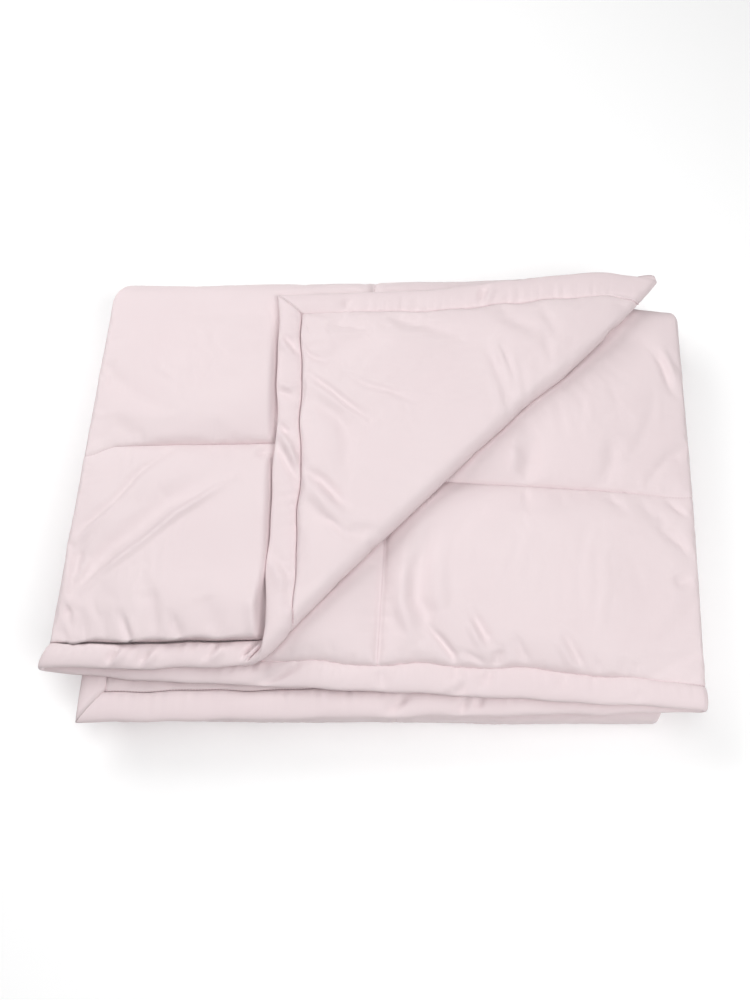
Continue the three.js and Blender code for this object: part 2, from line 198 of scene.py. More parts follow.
def side_row(key, v):
    """A side column between its rows: straight over the top third, eased from row to row below it."""
    rows, values = np.array(SIDES["v"], float), np.array(SIDES[key], float)
    row = np.clip(np.searchsorted(rows, v) - 1, 0, len(rows) - 2)
    share = np.clip((v - rows[row]) / (rows[row + 1] - rows[row]), 0, 1)
    share = np.where(v > BACK_START, ease(share, 0, 1), share)
    return values[row] + (values[row + 1] - values[row]) * share


# The columns on scales of one millimetre that go on a little past both ends.
SCALE_MARGIN = 60.0
SCALE_U = np.arange(-SCALE_MARGIN, LENGTH + SCALE_MARGIN + 1)
SCALE_V = np.arange(-SCALE_MARGIN, BREADTH + SCALE_MARGIN + 1)
LAYER_CURVES = {
    key: rounded(np.interp(SCALE_U, LAYERS["u"], LAYERS[key]), ROUND_LAYERS)
    for key in ("front", "back", "drift")
}
SIDE_CURVES = {
    key: rounded(side_row(key, SCALE_V), ROUND_SIDES)
    for key in ("left", "right", "free_right", "free_left")
}


def layer(key, u):
    """Where the front edge or the back fold lies, or how far the middle drifts, at a length."""
    return np.interp(u, SCALE_U, LAYER_CURVES[key])


def side(key, v):
    """Where a side fold or a free end lies at a breadth."""
    return np.interp(v, SCALE_V, SIDE_CURVES[key])


def fold_length(u, v, w):
    """Back and forth along the length: straight, half a circle, straight, half a circle, straight."""
    left, right = side("left", v), side("right", v)
    free_right, free_left = side("free_right", v), side("free_left", v)
    radius = PITCH / 2
    wander = SEAM_WANDER * ripple(v, END_SEED, SEAM_WANDER_LENGTHS)
    by = np.interp(v, PRESSED_END["v"], PRESSED_END["by"]) + wander
    pressed = by * np.interp(u, PRESSED_AT, PRESSED_SHARE)
    left_turn = np.pi * (u - LEFT_START) / TURN_U
    right_turn = np.pi * (u - RIGHT_START) / TURN_U
    where = [u <= LEFT_START, u < LEFT_END, u <= RIGHT_START, u < RIGHT_END]
    across = [
        free_right + (left - free_right) * (u + pressed) / LEFT_START,
        left - (radius + w) * np.sin(left_turn),
        left + (right - left) * (u - LEFT_END) / (RIGHT_START - LEFT_END),
        right + (radius - w) * np.sin(right_turn),
    ]
    level = [
        TOP_LEVEL + w,
        TOP_LEVEL - radius + (radius + w) * np.cos(left_turn),
        PITCH - w,
        radius + (radius - w) * np.cos(right_turn),
    ]
    last = right + (free_left - right) * (u - RIGHT_END) / (LENGTH - RIGHT_END)
    return np.select(where, across, last), np.select(where, level, w)


def fold_breadth(u, v, level):
    """In three across the breadth: back over the top, half a circle round the back, forwards, half a
    circle round the front, and back on the ground."""
    back = layer("back", u)
    front = layer("front", u)
    outer = PITCH / 2 + level
    inner = STACK - outer
    back_share = (v - BACK_START) / TURN_V
    front_share = (v - FRONT_START) / TURN_V
    back_radius = outer * (LOFT_TOP + (LOFT_MIDDLE - LOFT_TOP) * ease(back_share, 0, 1))
    front_radius = inner * (LOFT_MIDDLE + (LOFT_BOTTOM - LOFT_MIDDLE) * ease(front_share, 0, 1))
    at_end = 1 - ease(u, 0, END_PINCH_REACH)
    pinch = TIP_PINCH * (1 - ease(u, 0, TIP_PINCH_REACH)) + END_PINCH * at_end
    under = back - TIP_LEAN * (1 - ease(u, 0, TIP_PINCH_REACH))
    back_axis = back + (under - back) * ease(back_share, LEAN_FROM, 1)
    drop = END_DROP * at_end * ease(back_share, 0, DROP_FULL) * (1 - ease(back_share, *DROP_FADE))
    wander = SEAM_WANDER * ripple(u, FRONT_SEED, SEAM_WANDER_LENGTHS)
    by = np.interp(u, PRESSED_FRONT["u"], PRESSED_FRONT["by"]) + wander
    pressed = by * np.interp(v, PRESSED_AT, PRESSED_SHARE)
    drift = layer("drift", u) * np.sin(np.pi * np.clip(v / BACK_START, 0, 1))
    where = [v <= BACK_START, v < BACK_END, v <= FRONT_START, v < FRONT_END]
    depth = [
        front + (back - front) * (v + pressed) / BACK_START + drift,
        back_axis + (back_radius - pinch) * np.sin(np.pi * back_share),
        under + (FRONT_AXIS_Y - under) * (v - BACK_END) / (FRONT_START - BACK_END),
        FRONT_AXIS_Y - front_radius * np.sin(np.pi * front_share),
    ]
    height = [
        BACK_AXIS_Z + LOFT_TOP * outer,
        BACK_AXIS_Z + back_radius * np.cos(np.pi * back_share) - drop,
        BACK_AXIS_Z - LOFT_MIDDLE * outer,
        FRONT_AXIS_Z + front_radius * np.cos(np.pi * front_share),
    ]
    last = FRONT_AXIS_Y + (LAST_EDGE_Y - FRONT_AXIS_Y) * (v - FRONT_END) / (BREADTH - FRONT_END)
    return np.select(where, depth, last), np.select(where, height, FRONT_AXIS_Z - LOFT_BOTTOM * inner)


def plan(u, v):
    """Where the middle of the wool lies in plan before the corner is turned back."""
    u, v = np.broadcast_arrays(np.asarray(u, float), np.asarray(v, float))
    x, level = fold_length(u, v, np.zeros(u.shape))
    return x, fold_breadth(u, v, level)[0]


FOOT = np.array(plan(FOOT_U, 0.0))
TIP = np.array(plan(0.0, TIP_V))
ALONG_AXIS = (TIP - FOOT) / np.linalg.norm(TIP - FOOT)


def past_diagonal(x, y):
    """A plan point's distance past the diagonal of the turned-back corner, and its place along it."""
    dx, dy = x - FOOT[0], y - FOOT[1]
    return dx * ALONG_AXIS[1] - dy * ALONG_AXIS[0], dx * ALONG_AXIS[0] + dy * ALONG_AXIS[1]


def edge_bow(along):
    """How far the turned-back edge lies outside the diagonal, at a place along it."""
    return np.interp(along, BOW["along"], BOW["by"])


def turned_back(u, v):
    """How far a flat point of the top layer lies past the diagonal; below zero everywhere else."""
    top = (u <= LEFT_START) & (v <= BACK_START)
    return np.where(top, past_diagonal(*plan(u, v))[0], -1.0)


def fold(u, v, w):
    """A flat point folded into the pile.

    The turned-back corner rolls over half a circle about the diagonal and then settles flat."""
    u, v, w = np.broadcast_arrays(*(np.asarray(a, float) for a in (u, v, w)))
    x, level = fold_length(u, v, w)
    y, z = fold_breadth(u, v, level)
    past, along = past_diagonal(x, y)
    roll = np.interp(along, ROLLS["along"], ROLLS["radius"])
    turn = np.clip(past / roll, 0, np.pi)
    beyond = np.maximum(past - np.pi * roll, 0)
    settle = (2 * roll - FLAP_REST) * ease(beyond, 0, FLAP_SETTLE)
    radius = roll - LOFT_TOP * w
    bow = edge_bow(along) * ease(past, -BOW_REACH, 0) * (1 - ease(beyond, 0, BOW_REACH))
    bow = bow * ((u <= LEFT_START) & (v <= BACK_START))
    across = radius * np.sin(turn) - beyond + bow
    rolled = [
        FOOT[0] + ALONG_AXIS[0] * along + ALONG_AXIS[1] * across,
        FOOT[1] + ALONG_AXIS[1] * along - ALONG_AXIS[0] * across,
        TOP_LAYER_Z + roll - radius * np.cos(turn) - settle,
    ]
    over = turned_back(u, v) > 0
    plain = (x + ALONG_AXIS[1] * bow, y - ALONG_AXIS[0] * bow, z)
    return np.stack([np.where(over, a, b) for a, b in zip(rolled, plain)], -1)


# The fold is drawn about its own axes, and the part's frame has its origin under the middle of the
# pile: the low corner of the front binding in both gives the shift.
FRONT_BINDING_LOW = np.array([-351.5, -288.0])
PILE_SHIFT = np.append(np.array(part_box("binding_front")[0])[:2] / MM - FRONT_BINDING_LOW, 0.0)


def to_part(points):
    """Folded points in millimetres to the part's frame in metres."""
    return (points + PILE_SHIFT) * MM


# How often a stretch is halved to find a place in it, and how close two welded points lie.
HALVINGS = 45
WELD = 0.01
WELD_DIGITS = 2


def last_held(low, high, holds):
    """Halves the stretch between two bounds, in arrays, to where a test that holds at the low one stops."""
    low, high = np.array(low, float), np.array(high, float)
    for _ in range(HALVINGS):
        middle = (low + high) / 2
        inside = holds(middle)
        low, high = np.where(inside, middle, low), np.where(inside, high, middle)
    return low


def beside_diagonal(past, v):
    """The length at which a line parallel to the diagonal, a distance past it, has the breadth v."""
    past, v = np.broadcast_arrays(np.asarray(past, float), np.asarray(v, float))
    start = np.full(v.shape, -2 * BINDING)
    return last_held(start, np.full(v.shape, LEFT_START), lambda u: turned_back(u, v) > past)


def reach_end(past):
    """The breadth at which such a line reaches the binding of the turned-back end."""
    past = np.asarray(past, float)
    end = np.full(past.shape, BINDING)
    high = np.full(past.shape, BACK_START)
    return last_held(np.zeros(past.shape), high, lambda v: turned_back(end, v) > past)


DIAGONAL_AT_FRONT = float(beside_diagonal(0.0, BINDING))
DIAGONAL_END = float(reach_end(0.0))
CORNER_PAST = float(turned_back(np.array(BINDING), np.array(BINDING)))


def stations(first, *stretches):
    """Places along a line: each stretch runs on to its end in even steps."""
    places = [np.array([first])]
    for end, count in stretches:
        places.append(np.linspace(places[-1][-1], end, count + 1)[1:])
    return np.concatenate(places)


# Rows and columns of the nets, each stretch with the number of its steps.
NEAR_TIP = 400.0
TOP_COLUMNS = 47
CORNER_SHARE = 0.9
TOP_ROWS = stations(BINDING, (CROSS_LINE, 19), (NEAR_TIP, 13), (DIAGONAL_END, 2))
LOWER_ROWS = stations(
    DIAGONAL_END, (BACK_START, 2), (BACK_END, 8), (SECOND_CROSS_LINE, 7), (FRONT_START, 7),
    (FRONT_END, 8), (THIRD_CROSS_LINE, 7), (BREADTH - BINDING, 7),
)
ROWS = np.concatenate([TOP_ROWS, LOWER_ROWS[1:]])
TOP_SHARES = np.linspace(0, 1, TOP_COLUMNS)
LOWER_COLUMNS = stations(
    LEFT_START, (LEFT_END, 5), (SECOND_LINE, 28), (RIGHT_START, 28), (RIGHT_END, 5), (THIRD_LINE, 16),
    (LENGTH - BINDING, 16),
)
FLAP_PASTS = stations(0.0, (ROLL_LENGTH, 3), (CORNER_SHARE * CORNER_PAST, 20))


def main_net():
    """Rows of flat points from the diagonal, or the free end behind it, to the other end."""
    first = np.where(ROWS < DIAGONAL_END - WELD, beside_diagonal(0.0, ROWS), BINDING)
    top = first[:, None] + (LEFT_START - first[:, None]) * TOP_SHARES
    lower = np.broadcast_to(LOWER_COLUMNS[1:], (len(ROWS), len(LOWER_COLUMNS) - 1))
    u = np.concatenate([top, lower], 1)
    return u, np.broadcast_to(ROWS[:, None], u.shape)


def flap_net():
    """Lines of flat points parallel to the diagonal, closing on the corner."""
    shares = (TOP_ROWS - BINDING) / (DIAGONAL_END - BINDING)
    v = BINDING + (reach_end(FLAP_PASTS) - BINDING) * shares[:, None]
    u = beside_diagonal(np.broadcast_to(FLAP_PASTS, v.shape), v)
    corner = np.full((len(v), 1), BINDING)
    return np.concatenate([u, corner], 1), np.concatenate([v, corner], 1)


def grid_cells(rows, columns, first):
    """The four corners of each cell of a grid, counted from a first point."""
    at = first + np.arange(rows * columns).reshape(rows, columns)
    return np.stack([at[:-1, :-1], at[1:, :-1], at[1:, 1:], at[:-1, 1:]], -1).reshape(-1, 4)


def flat_body():
    """Flat points and cells of the body: both nets, welded where they share points."""
    u_main, v_main = main_net()
    u_flap, v_flap = flap_net()
    flat = np.concatenate([
        np.stack([u_main.ravel(), v_main.ravel()], -1),
        np.stack([u_flap.ravel(), v_flap.ravel()], -1),
    ])
    cells = np.concatenate([
        grid_cells(*u_main.shape, 0)[:, ::-1],
        grid_cells(*u_flap.shape, u_main.size),
    ])
    places = np.round(flat, WELD_DIGITS)
    _, first, where = np.unique(places, axis=0, return_index=True, return_inverse=True)
    return flat[first], where.ravel()[cells]


# How far the faces that show reach past the lines that bound them, and where the layers above end.
BACK_SHOWS = 20
BACK_BAND = 30
OPEN_TOP_X = -80
FRONT_BAND = 75
FRONT_BAND_X = 60
CORNER_SHOWS = 14
SECOND_SHOWS = 25
FRONT_FOLD_SHOWS = 8


def is_seen(u, v, upper):
    """Whether a flat place on the upper or the under face shows from outside."""
    x, y = plan(u, v)
    past, _ = past_diagonal(x, y)
    first = u < LEFT_END
    second = (u >= LEFT_START) & (u <= RIGHT_END)
    third = u > RIGHT_START
    beside_flap = (x < OPEN_TOP_X) | (v > BACK_START - BACK_BAND)
    open_top = first & (v < BACK_END + BACK_SHOWS) & (past < 0) & beside_flap
    front_band = third & (v < FRONT_BAND) & (x < FRONT_BAND_X)
    corner = first & (past > -CORNER_SHOWS) & (v < BACK_START)
    open_second = second & (v < BACK_END) & (past > -SECOND_SHOWS)
    front_fold = third & (v > FRONT_START - FRONT_FOLD_SHOWS) & (v < FRONT_END + FRONT_FOLD_SHOWS)
    return np.where(upper, open_top | front_band, corner | open_second | front_fold)


# Creases of each face that shows: half width, height (below zero for a hollow), and
# the flat places that it runs through.
CREASES = {
    "top": (
        (5.0, -1.5, ((562, 240), (596, 212), (618, 178), (652, 148))),
        (5.0, 1.2, ((652, 137), (626, 164), (604, 190))),
        (13.0, -2.6, ((510, 204), (556, 178), (578, 152), (610, 128), (630, 101), (647, 82))),
        (5.0, 1.8, ((485, 204), (544, 161), (580, 130), (616, 102), (648, 68))),
        (9.0, -1.6, ((647, 131), (652, 96))),
        (4.0, 1.0, ((636, 112), (646, 88))),
        (5.0, -1.5, ((644, 62), (653, 53))),
        (4.0, -1.4, ((588, 52), (570, 30))),
        (4.0, 0.9, ((582, 52), (566, 30))),
        (10.0, -1.6, ((560, 82), (550, 34))),
        (5.0, -1.3, ((534, 50), (520, 32))),
        (12.0, -1.2, ((502, 71), (488, 34))),
        (7.0, 1.6, ((452, 66), (446, 29))),
        (5.0, -2.2, ((464, 230), (450, 242))),
        (13.0, -1.2, ((569, 450), (623, 484))),
        (5.0, -1.5, ((648, 358), (658, 344))),
        (12.0, -1.0, ((656, 338), (624, 328))),
    ),
    "corner": (
        (4.5, -0.9, ((38, 53), (58, 106))),
        (7.0, -1.2, ((35, 118), (48, 164), (64, 203))),
        (4.0, -1.2, ((72, 28), (84, 36), (94, 52))),
        (4.5, -1.6, ((106, 32), (124, 53), (148, 80), (170, 108))),
        (7.0, 1.0, ((120, 32), (143, 59), (162, 83))),
        (4.0, -1.0, ((113, 78), (126, 101), (137, 134), (150, 155))),
        (12.0, -1.8, ((137, 44), (166, 71), (192, 83), (218, 84))),
        (6.0, -2.4, ((227, 29), (240, 50), (274, 83))),
        (9.0, 2.2, ((244, 34), (266, 56), (300, 84))),
        (3.6, -1.5, ((281, 52), (294, 68), (312, 86))),
        (3.6, 1.3, ((293, 59), (304, 71), (317, 84))),
        (3.6, -1.1, ((304, 86), (318, 106))),
        (6.0, -1.0, ((95, 242), (143, 262))),
        (4.5, 1.2, ((90, 248), (134, 270))),
        (3.6, -1.5, ((92, 256), (116, 266), (144, 280))),
        (3.6, 1.1, ((114, 270), (149, 282))),
        (3.6, -1.8, ((125, 282), (156, 288))),
        (3.6, 1.0, ((140, 296), (155, 296))),
        (6.0, -0.9, ((44, 302), (77, 318))),
        (5.0, -0.8, ((84, 305), (112, 312))),
        (8.0, -0.9, ((53, 260), (70, 299))),
    ),
    "second": (
        (12.0, -2.2, ((1160, 306), (1160, 275), (1146, 254))),
        (9.0, 1.4, ((1142, 292), (1140, 262))),
        (10.0, -1.2, ((1249, 311), (1248, 278), (1237, 252))),
        (5.0, -1.2, ((1156, 246), (1154, 227))),
        (5.0, -0.9, ((1243, 245), (1255, 233))),
        (4.0, -1.3, ((1308, 246), (1333, 227))),
        (7.0, -1.2, ((1303, 210), (1333, 186))),
        (7.0, -1.3, ((1308, 150), (1334, 154))),
        (6.0, -0.9, ((1334, 299), (1312, 293), (1297, 275))),
        (10.0, -2.4, ((1050, 185), (1039, 137), (1039, 110), (1050, 90), (1048, 58))),
        (9.0, 2.0, ((1024, 155), (1024, 100), (1036, 58))),
        (9.0, 1.2, ((1060, 156), (1066, 89))),
        (4.2, -2.2, ((1056, 70), (1080, 40), (1081, 29))),
        (5.5, -1.8, ((1098, 95), (1117, 56))),
        (5.0, 1.2, ((1092, 84), (1110, 47))),
        (6.0, -1.9, ((1128, 50), (1123, 26))),
        (3.8, -1.0, ((1087, 46), (1118, 29))),
        (5.0, -1.2, ((1141, 66), (1156, 32))),
        (5.0, -1.3, ((1192, 77), (1213, 34))),
        (4.5, 0.8, ((1184, 66), (1204, 30))),
        (4.0, -0.8, ((1226, 46), (1230, 30))),
        (4.0, -0.8, ((1252, 46), (1255, 30))),
        (4.0, -0.8, ((1266, 44), (1270, 29))),
        (5.0, -1.6, ((1306, 408), (1315, 398), (1322, 371))),
        (5.0, 1.0, ((1316, 412), (1328, 384))),
    ),
}

# Creases of the bindings, in the same way.
BINDING_CREASES = {
    "corner": (
        (4.0, -1.3, ((52, 6), (76, 21))),
        (4.0, 0.8, ((63, 4), (83, 18))),
        (4.0, -1.1, ((123, 1), (136, 18))),
        (4.0, 0.7, ((116, 2), (128, 19))),
        (3.8, -1.6, ((167, 3), (181, 15))),
        (3.6, 1.0, ((175, 4), (216, 22))),
        (3.6, -1.2, ((187, 2), (243, 25))),
        (3.6, 0.9, ((185, 11), (226, 24))),
        (4.0, -0.9, ((313, 2), (357, 24))),
        (5.0, 0.9, ((327, 5), (366, 18))),
        (4.0, -0.9, ((357, 17), (383, 25))),
    ),
    "top": (
        (5.0, -1.2, ((585, 18), (592, 5))),
        (5.0, 1.1, ((579, 16), (584, 1))),
        (5.0, -1.1, ((551, 18), (558, 5))),
        (5.0, 1.0, ((545, 16), (550, 1))),
        (6.0, 1.0, ((472, 19), (487, 5))),
        (5.0, -0.8, ((481, 21), (494, 7))),
        (3.0, -2.0, ((444, 24), (452, 8))),
        (3.0, 1.6, ((440, 22), (448, 5))),
        (3.0, -1.8, ((437, 18), (444, 2))),
    ),
    "end": (
        (4.5, -1.1, ((9, 80), (22, 75))),
        (4.5, -1.6, ((6, 235), (19, 227))),
        (5.0, 0.9, ((7, 242), (22, 235))),
    ),
    "second": (
        (5.0, -1.5, ((924, 25), (902, 10), (884, 1))),
        (5.0, -1.4, ((1121, 23), (1111, 11))),
        (5.0, -1.4, ((1096, 10), (1081, 0))),
        (5.0, 1.0, ((1089, 12), (1076, 0))),
        (5.0, -1.0, ((1200, 22), (1188, 13))),
        (6.0, -0.8, ((1275, 14), (1264, 3))),
        (6.0, -0.9, ((1006, 22), (1014, 3))),
    ),
    "third": (
        (4.5, -1.5, ((1654, 18), (1674, 5))),
        (4.5, -1.3, ((1591, 13), (1600, 3))),
        (4.0, -1.1, ((1575, 14), (1583, 7))),
    ),
}


# Quilting relief, in millimetres: half the thickness on a sewn line, how far the line draws the cloth
# in, the quick rise beside a line, and the slow swell of a box where a face lies open.
SEAM_HALF = 1.3
SEAM_REACH = 34.0
RISE_REACH = {"top": 9.0, "second": 9.0, "corner": 8.0}
RISE = {"top": 4.2, "second": 2.8, "corner": 3.6}
SWELL = {"top": 6.0, "second": 4.5, "corner": 2.2}
CORNER_SWELL_REACH = 130
SECOND_OPENS = (-1, 17)
FOLD_FADE = 110.0

# Creases: their depth as a multiple of the tables' heights, how far from folds and sewn lines they are
# whole, and the strength of their first and last ends with the shares of their length that taper.
CREASE_DEPTH = 1.7
CREASE_FADE = 12.0
SOFT_FADE = 7.0
FIRST_STRENGTH = 0.35
LAST_STRENGTH = 0.4
FIRST_TAPER = 0.3
LAST_TAPER = 0.7

# The panel of the top layer stands up beside the turned-back corner's left edge, further from it in
# front, with a wall behind its front seam.
CORNER_EDGE_X = -122.0
EDGE_APART = 7
EDGE_APART_Y = (-175, -120)
EDGE_RISE = (-3, 9)
FRONT_WALL = 3.0
FRONT_WALL_REACH = 6.0
FRONT_WALL_FADE = (BINDING + 20, BINDING + 90)

# The same panel overhangs its front seam unevenly, and its cross seam a little.
OVERHANG = 6.0
OVERHANG_NEAR = 6
OVERHANG_REACH = 30.0
OVERHANG_UNEVEN = 0.4
OVERHANG_LENGTHS = (40, 140)
OVERHANG_SEED = 3
OVERHANG_SIDE_FADE = 20
CROSS_OVERHANG = 1.9
CROSS_NEAR = 4.0

# At the side the end of the top layer's cross seam is pulled forwards.
SEAM_DIP = 9.0
SEAM_DIP_REACH = 32.0

# Puckers along the sewn lines, in even and uneven strength, and slow unevenness of the filling.
GATHER = 0.45
GATHER_FROM = 3
GATHER_REACH = 9.0
GATHER_LENGTHS = (8.0, 24.0)
GATHER_EVEN = 0.55
GATHER_UNEVEN = 0.45
GATHER_UNEVEN_LENGTHS = (60, 200)
GATHER_SEEDS_U = 11
GATHER_SEEDS_V = 31
GATHER_SEED_STEP = 100
UNEVEN = 0.5
UNEVEN_FROM = 40
UNEVEN_LENGTHS = (70.0, 190.0)
UNEVEN_SEED_U = 5
UNEVEN_SEED_V = 6

# Where quilting lines of the top draw in the roll of the turned-back corner, as flat places on it, and
# how far the rest of the roll is filled out.
ROLL_PINCHES = ((165.5, 279.5), (320.0, 113.0))
ROLL_PINCH_DEPTH = 2.6
ROLL_PINCH_HALF = 9.0
ROLL_PINCH_IN = (-4, 8)
ROLL_PINCH_FADE = 25
ROLL_FILL = 0.7
ROLL_FILL_FADE = 20
ROLL_FILL_ENDS = (560, 600)

# The back edge of the top layer is fuller behind the corner, and a quilting line nips it.
BACK_FULLER = 2.2
BACK_FULLER_ENDS = 600
BACK_FULLER_FADE = 150
BACK_FULLER_IN = (BACK_START - 30, BACK_START)
BACK_FULLER_OUT = (BACK_FOLD - 6, BACK_FOLD + 6)
BACK_PINCH = 3.0
BACK_PINCH_HALF = 3.5
BACK_PINCH_IN = (BACK_START - 25, BACK_START - 5)
BACK_PINCH_OUT = (BACK_START + 5, BACK_START + 13)


def line_distance(lines, at):
    """Distance to the nearest sewn line."""
    return np.abs(at[..., None] - lines).min(-1)


def sewn_distance(u, v, on_corner):
    """Distance to the nearest sewn line; on the corner's face only the binding seams draw in."""
    near = np.minimum(line_distance(LINES_U, u), line_distance(LINES_V, v))
    return np.where(on_corner, np.abs(np.minimum(u, v) - BINDING), near)


def box_share(lines, at):
    """The share of the way across the quilting box that a place lies in."""
    nxt = np.clip(np.searchsorted(lines, at), 1, len(lines) - 1)
    return np.clip((at - lines[nxt - 1]) / (lines[nxt] - lines[nxt - 1]), 0, 1)


def arch(share):
    """A cubic arch: zero at both ends of a stretch and one in its middle."""
    return 1 - np.abs(2 * share - 1) ** 3


def crown(u, v):
    """The swell of a quilting box: one in the middle, zero on its lines, as a product of two arches."""
    return arch(box_share(LINES_U, u)) * arch(box_share(LINES_V, v))


def bell(away, half_width):
    """A bell: one at no distance, falling as the exponential of the distance squared."""
    return np.exp(-((away / half_width) ** 2))


def gathers(u, v, on_corner):
    """Puckers square to each sewn line: a ripple along it, uneven in strength, that dies away from it."""
    total = np.zeros(u.shape)
    for across, along, lines, seeds in ((u, v, LINES_U, GATHER_SEEDS_U), (v, u, LINES_V, GATHER_SEEDS_V)):
        for seed, line in enumerate(lines, seeds):
            varied = GATHER_EVEN + GATHER_UNEVEN * ripple(along, seed, GATHER_UNEVEN_LENGTHS)
            strength = np.exp(-np.abs(across - line) / GATHER_REACH) * varied
            shows = strength * ripple(along, GATHER_SEED_STEP + seed, GATHER_LENGTHS)
            total += np.where(on_corner & (line != BINDING), 0, shows)
    return total


def crease_height(u, v, rows):
    """Each crease is a ridge or hollow along a broken line: a bell across it, tapered to its ends."""
    total = np.zeros(u.shape)
    for half_width, height, places in rows:
        ends = np.array(places, float)
        steps = np.diff(ends, axis=0)
        spans = np.linalg.norm(steps, axis=1)
        starts = np.concatenate([[0], np.cumsum(spans)])
        best = np.full(u.shape, np.inf)
        along = np.zeros(u.shape)
        for (u0, v0), (du, dv), span, start in zip(ends, steps, spans, starts):
            share = np.clip(((u - u0) * du + (v - v0) * dv) / span**2, 0, 1)
            away = np.hypot(u - u0 - share * du, v - v0 - share * dv)
            along = np.where(away < best, start + share * span, along)
            best = np.minimum(best, away)
        place = along / starts[-1]
        grows = FIRST_STRENGTH + (1 - FIRST_STRENGTH) * ease(place, 0, FIRST_TAPER)
        fades = 1 - (1 - LAST_STRENGTH) * ease(place, LAST_TAPER, 1)
        total += CREASE_DEPTH * height * (grows * fades) * bell(best, half_width)
    return total


def quarter_circle(share):
    """The height of a quarter circle, from an upright start at zero to a level end at one."""
    return np.sqrt(1 - (1 - np.clip(share, 0, 1)) ** 2)


def beside_corner(x, y):
    """Zero under the turned-back corner's left edge, and one a little to the left of it."""
    apart = EDGE_APART * (1 - ease(y, *EDGE_APART_Y))
    return ease(CORNER_EDGE_X - x, apart + EDGE_RISE[0], apart + EDGE_RISE[1])


def behind_seam(away, near):
    """Zero on a seam, one a short way behind it, and zero again past the reach of an overhang."""
    return ease(away, 0, near) * (1 - ease(away, near, OVERHANG_REACH))


def overhang(u, v, upper):
    """How far the top panel is pushed forwards: over its two seams, and where the cross seam ends."""
    x, y = plan(u, v)
    open_top = upper & (past_diagonal(x, y)[0] < 0)
    on_top = open_top * (1 - ease(u, LEFT_START - OVERHANG_SIDE_FADE, LEFT_FOLD)) * beside_corner(x, y)
    by = OVERHANG * (1 + OVERHANG_UNEVEN * ripple(u, OVERHANG_SEED, OVERHANG_LENGTHS))
    over_front = by * on_top * behind_seam(v - BINDING, OVERHANG_NEAR)
    over_cross = CROSS_OVERHANG * on_top * behind_seam(v - CROSS_LINE, CROSS_NEAR)
    at_side = ease(u, LEFT_START - SEAM_DIP_REACH, LEFT_START) * (1 - ease(u, LEFT_START, LEFT_END))
    dip = SEAM_DIP * upper * at_side * bell(v - CROSS_LINE, SEAM_DIP_REACH)
    return over_front + over_cross + dip


def clear_of_folds(u, v, fade):
    """One on an open panel, falling to zero over a length where a fold takes over."""
    away_u = np.minimum(np.abs(u - LEFT_FOLD), np.abs(u - RIGHT_FOLD)) - TURN_U / 2
    away_v = BACK_FOLD - v - TURN_V / 2
    return ease(away_u, 0, fade) * ease(away_v, 0, fade)


def fine_relief(u, v, near, on_corner):
    """Gathers that start a little way from the lines, and the product of two slow ripples."""
    puckers = GATHER * gathers(u, v, on_corner) * ease(near, 0, GATHER_FROM)
    slow = ripple(u, UNEVEN_SEED_U, UNEVEN_LENGTHS) * ripple(v, UNEVEN_SEED_V, UNEVEN_LENGTHS)
    return puckers + UNEVEN * slow * ease(near, 0, UNEVEN_FROM)


def front_wall(v):
    """A quarter circle behind the front seam that dies away again."""
    return FRONT_WALL * quarter_circle((v - BINDING) / FRONT_WALL_REACH) * (1 - ease(v, *FRONT_WALL_FADE))


def on_the_roll(height, past, along):
    """The corner's face on its roll: bells pinch it at two quilting lines, and the rest is filled out."""
    near_roll = ease(past, *ROLL_PINCH_IN) * (1 - ease(past, ROLL_LENGTH, ROLL_LENGTH + ROLL_PINCH_FADE))
    for place in ROLL_PINCHES:
        at = past_diagonal(*plan(*place))[1]
        height = height - ROLL_PINCH_DEPTH * near_roll * bell(along - at, ROLL_PINCH_HALF)
    filled = 1 - ease(past, ROLL_LENGTH, ROLL_LENGTH + ROLL_FILL_FADE)
    filled = ROLL_FILL * filled * (1 - ease(along, *ROLL_FILL_ENDS))
    return height + filled * np.maximum(HALF_THICK - height, 0)


def back_edge(u, v):
    """The fuller back edge behind the corner, less a narrow bell where a quilting line nips it."""
    fuller = BACK_FULLER * ease(BACK_FULLER_ENDS - u, 0, BACK_FULLER_FADE)
    fuller = fuller * ease(v, *BACK_FULLER_IN) * (1 - ease(v, *BACK_FULLER_OUT))
    nipped = ease(v, *BACK_PINCH_IN) * (1 - ease(v, *BACK_PINCH_OUT))
    return fuller - BACK_PINCH * nipped * bell(u - FIRST_LINE, BACK_PINCH_HALF)


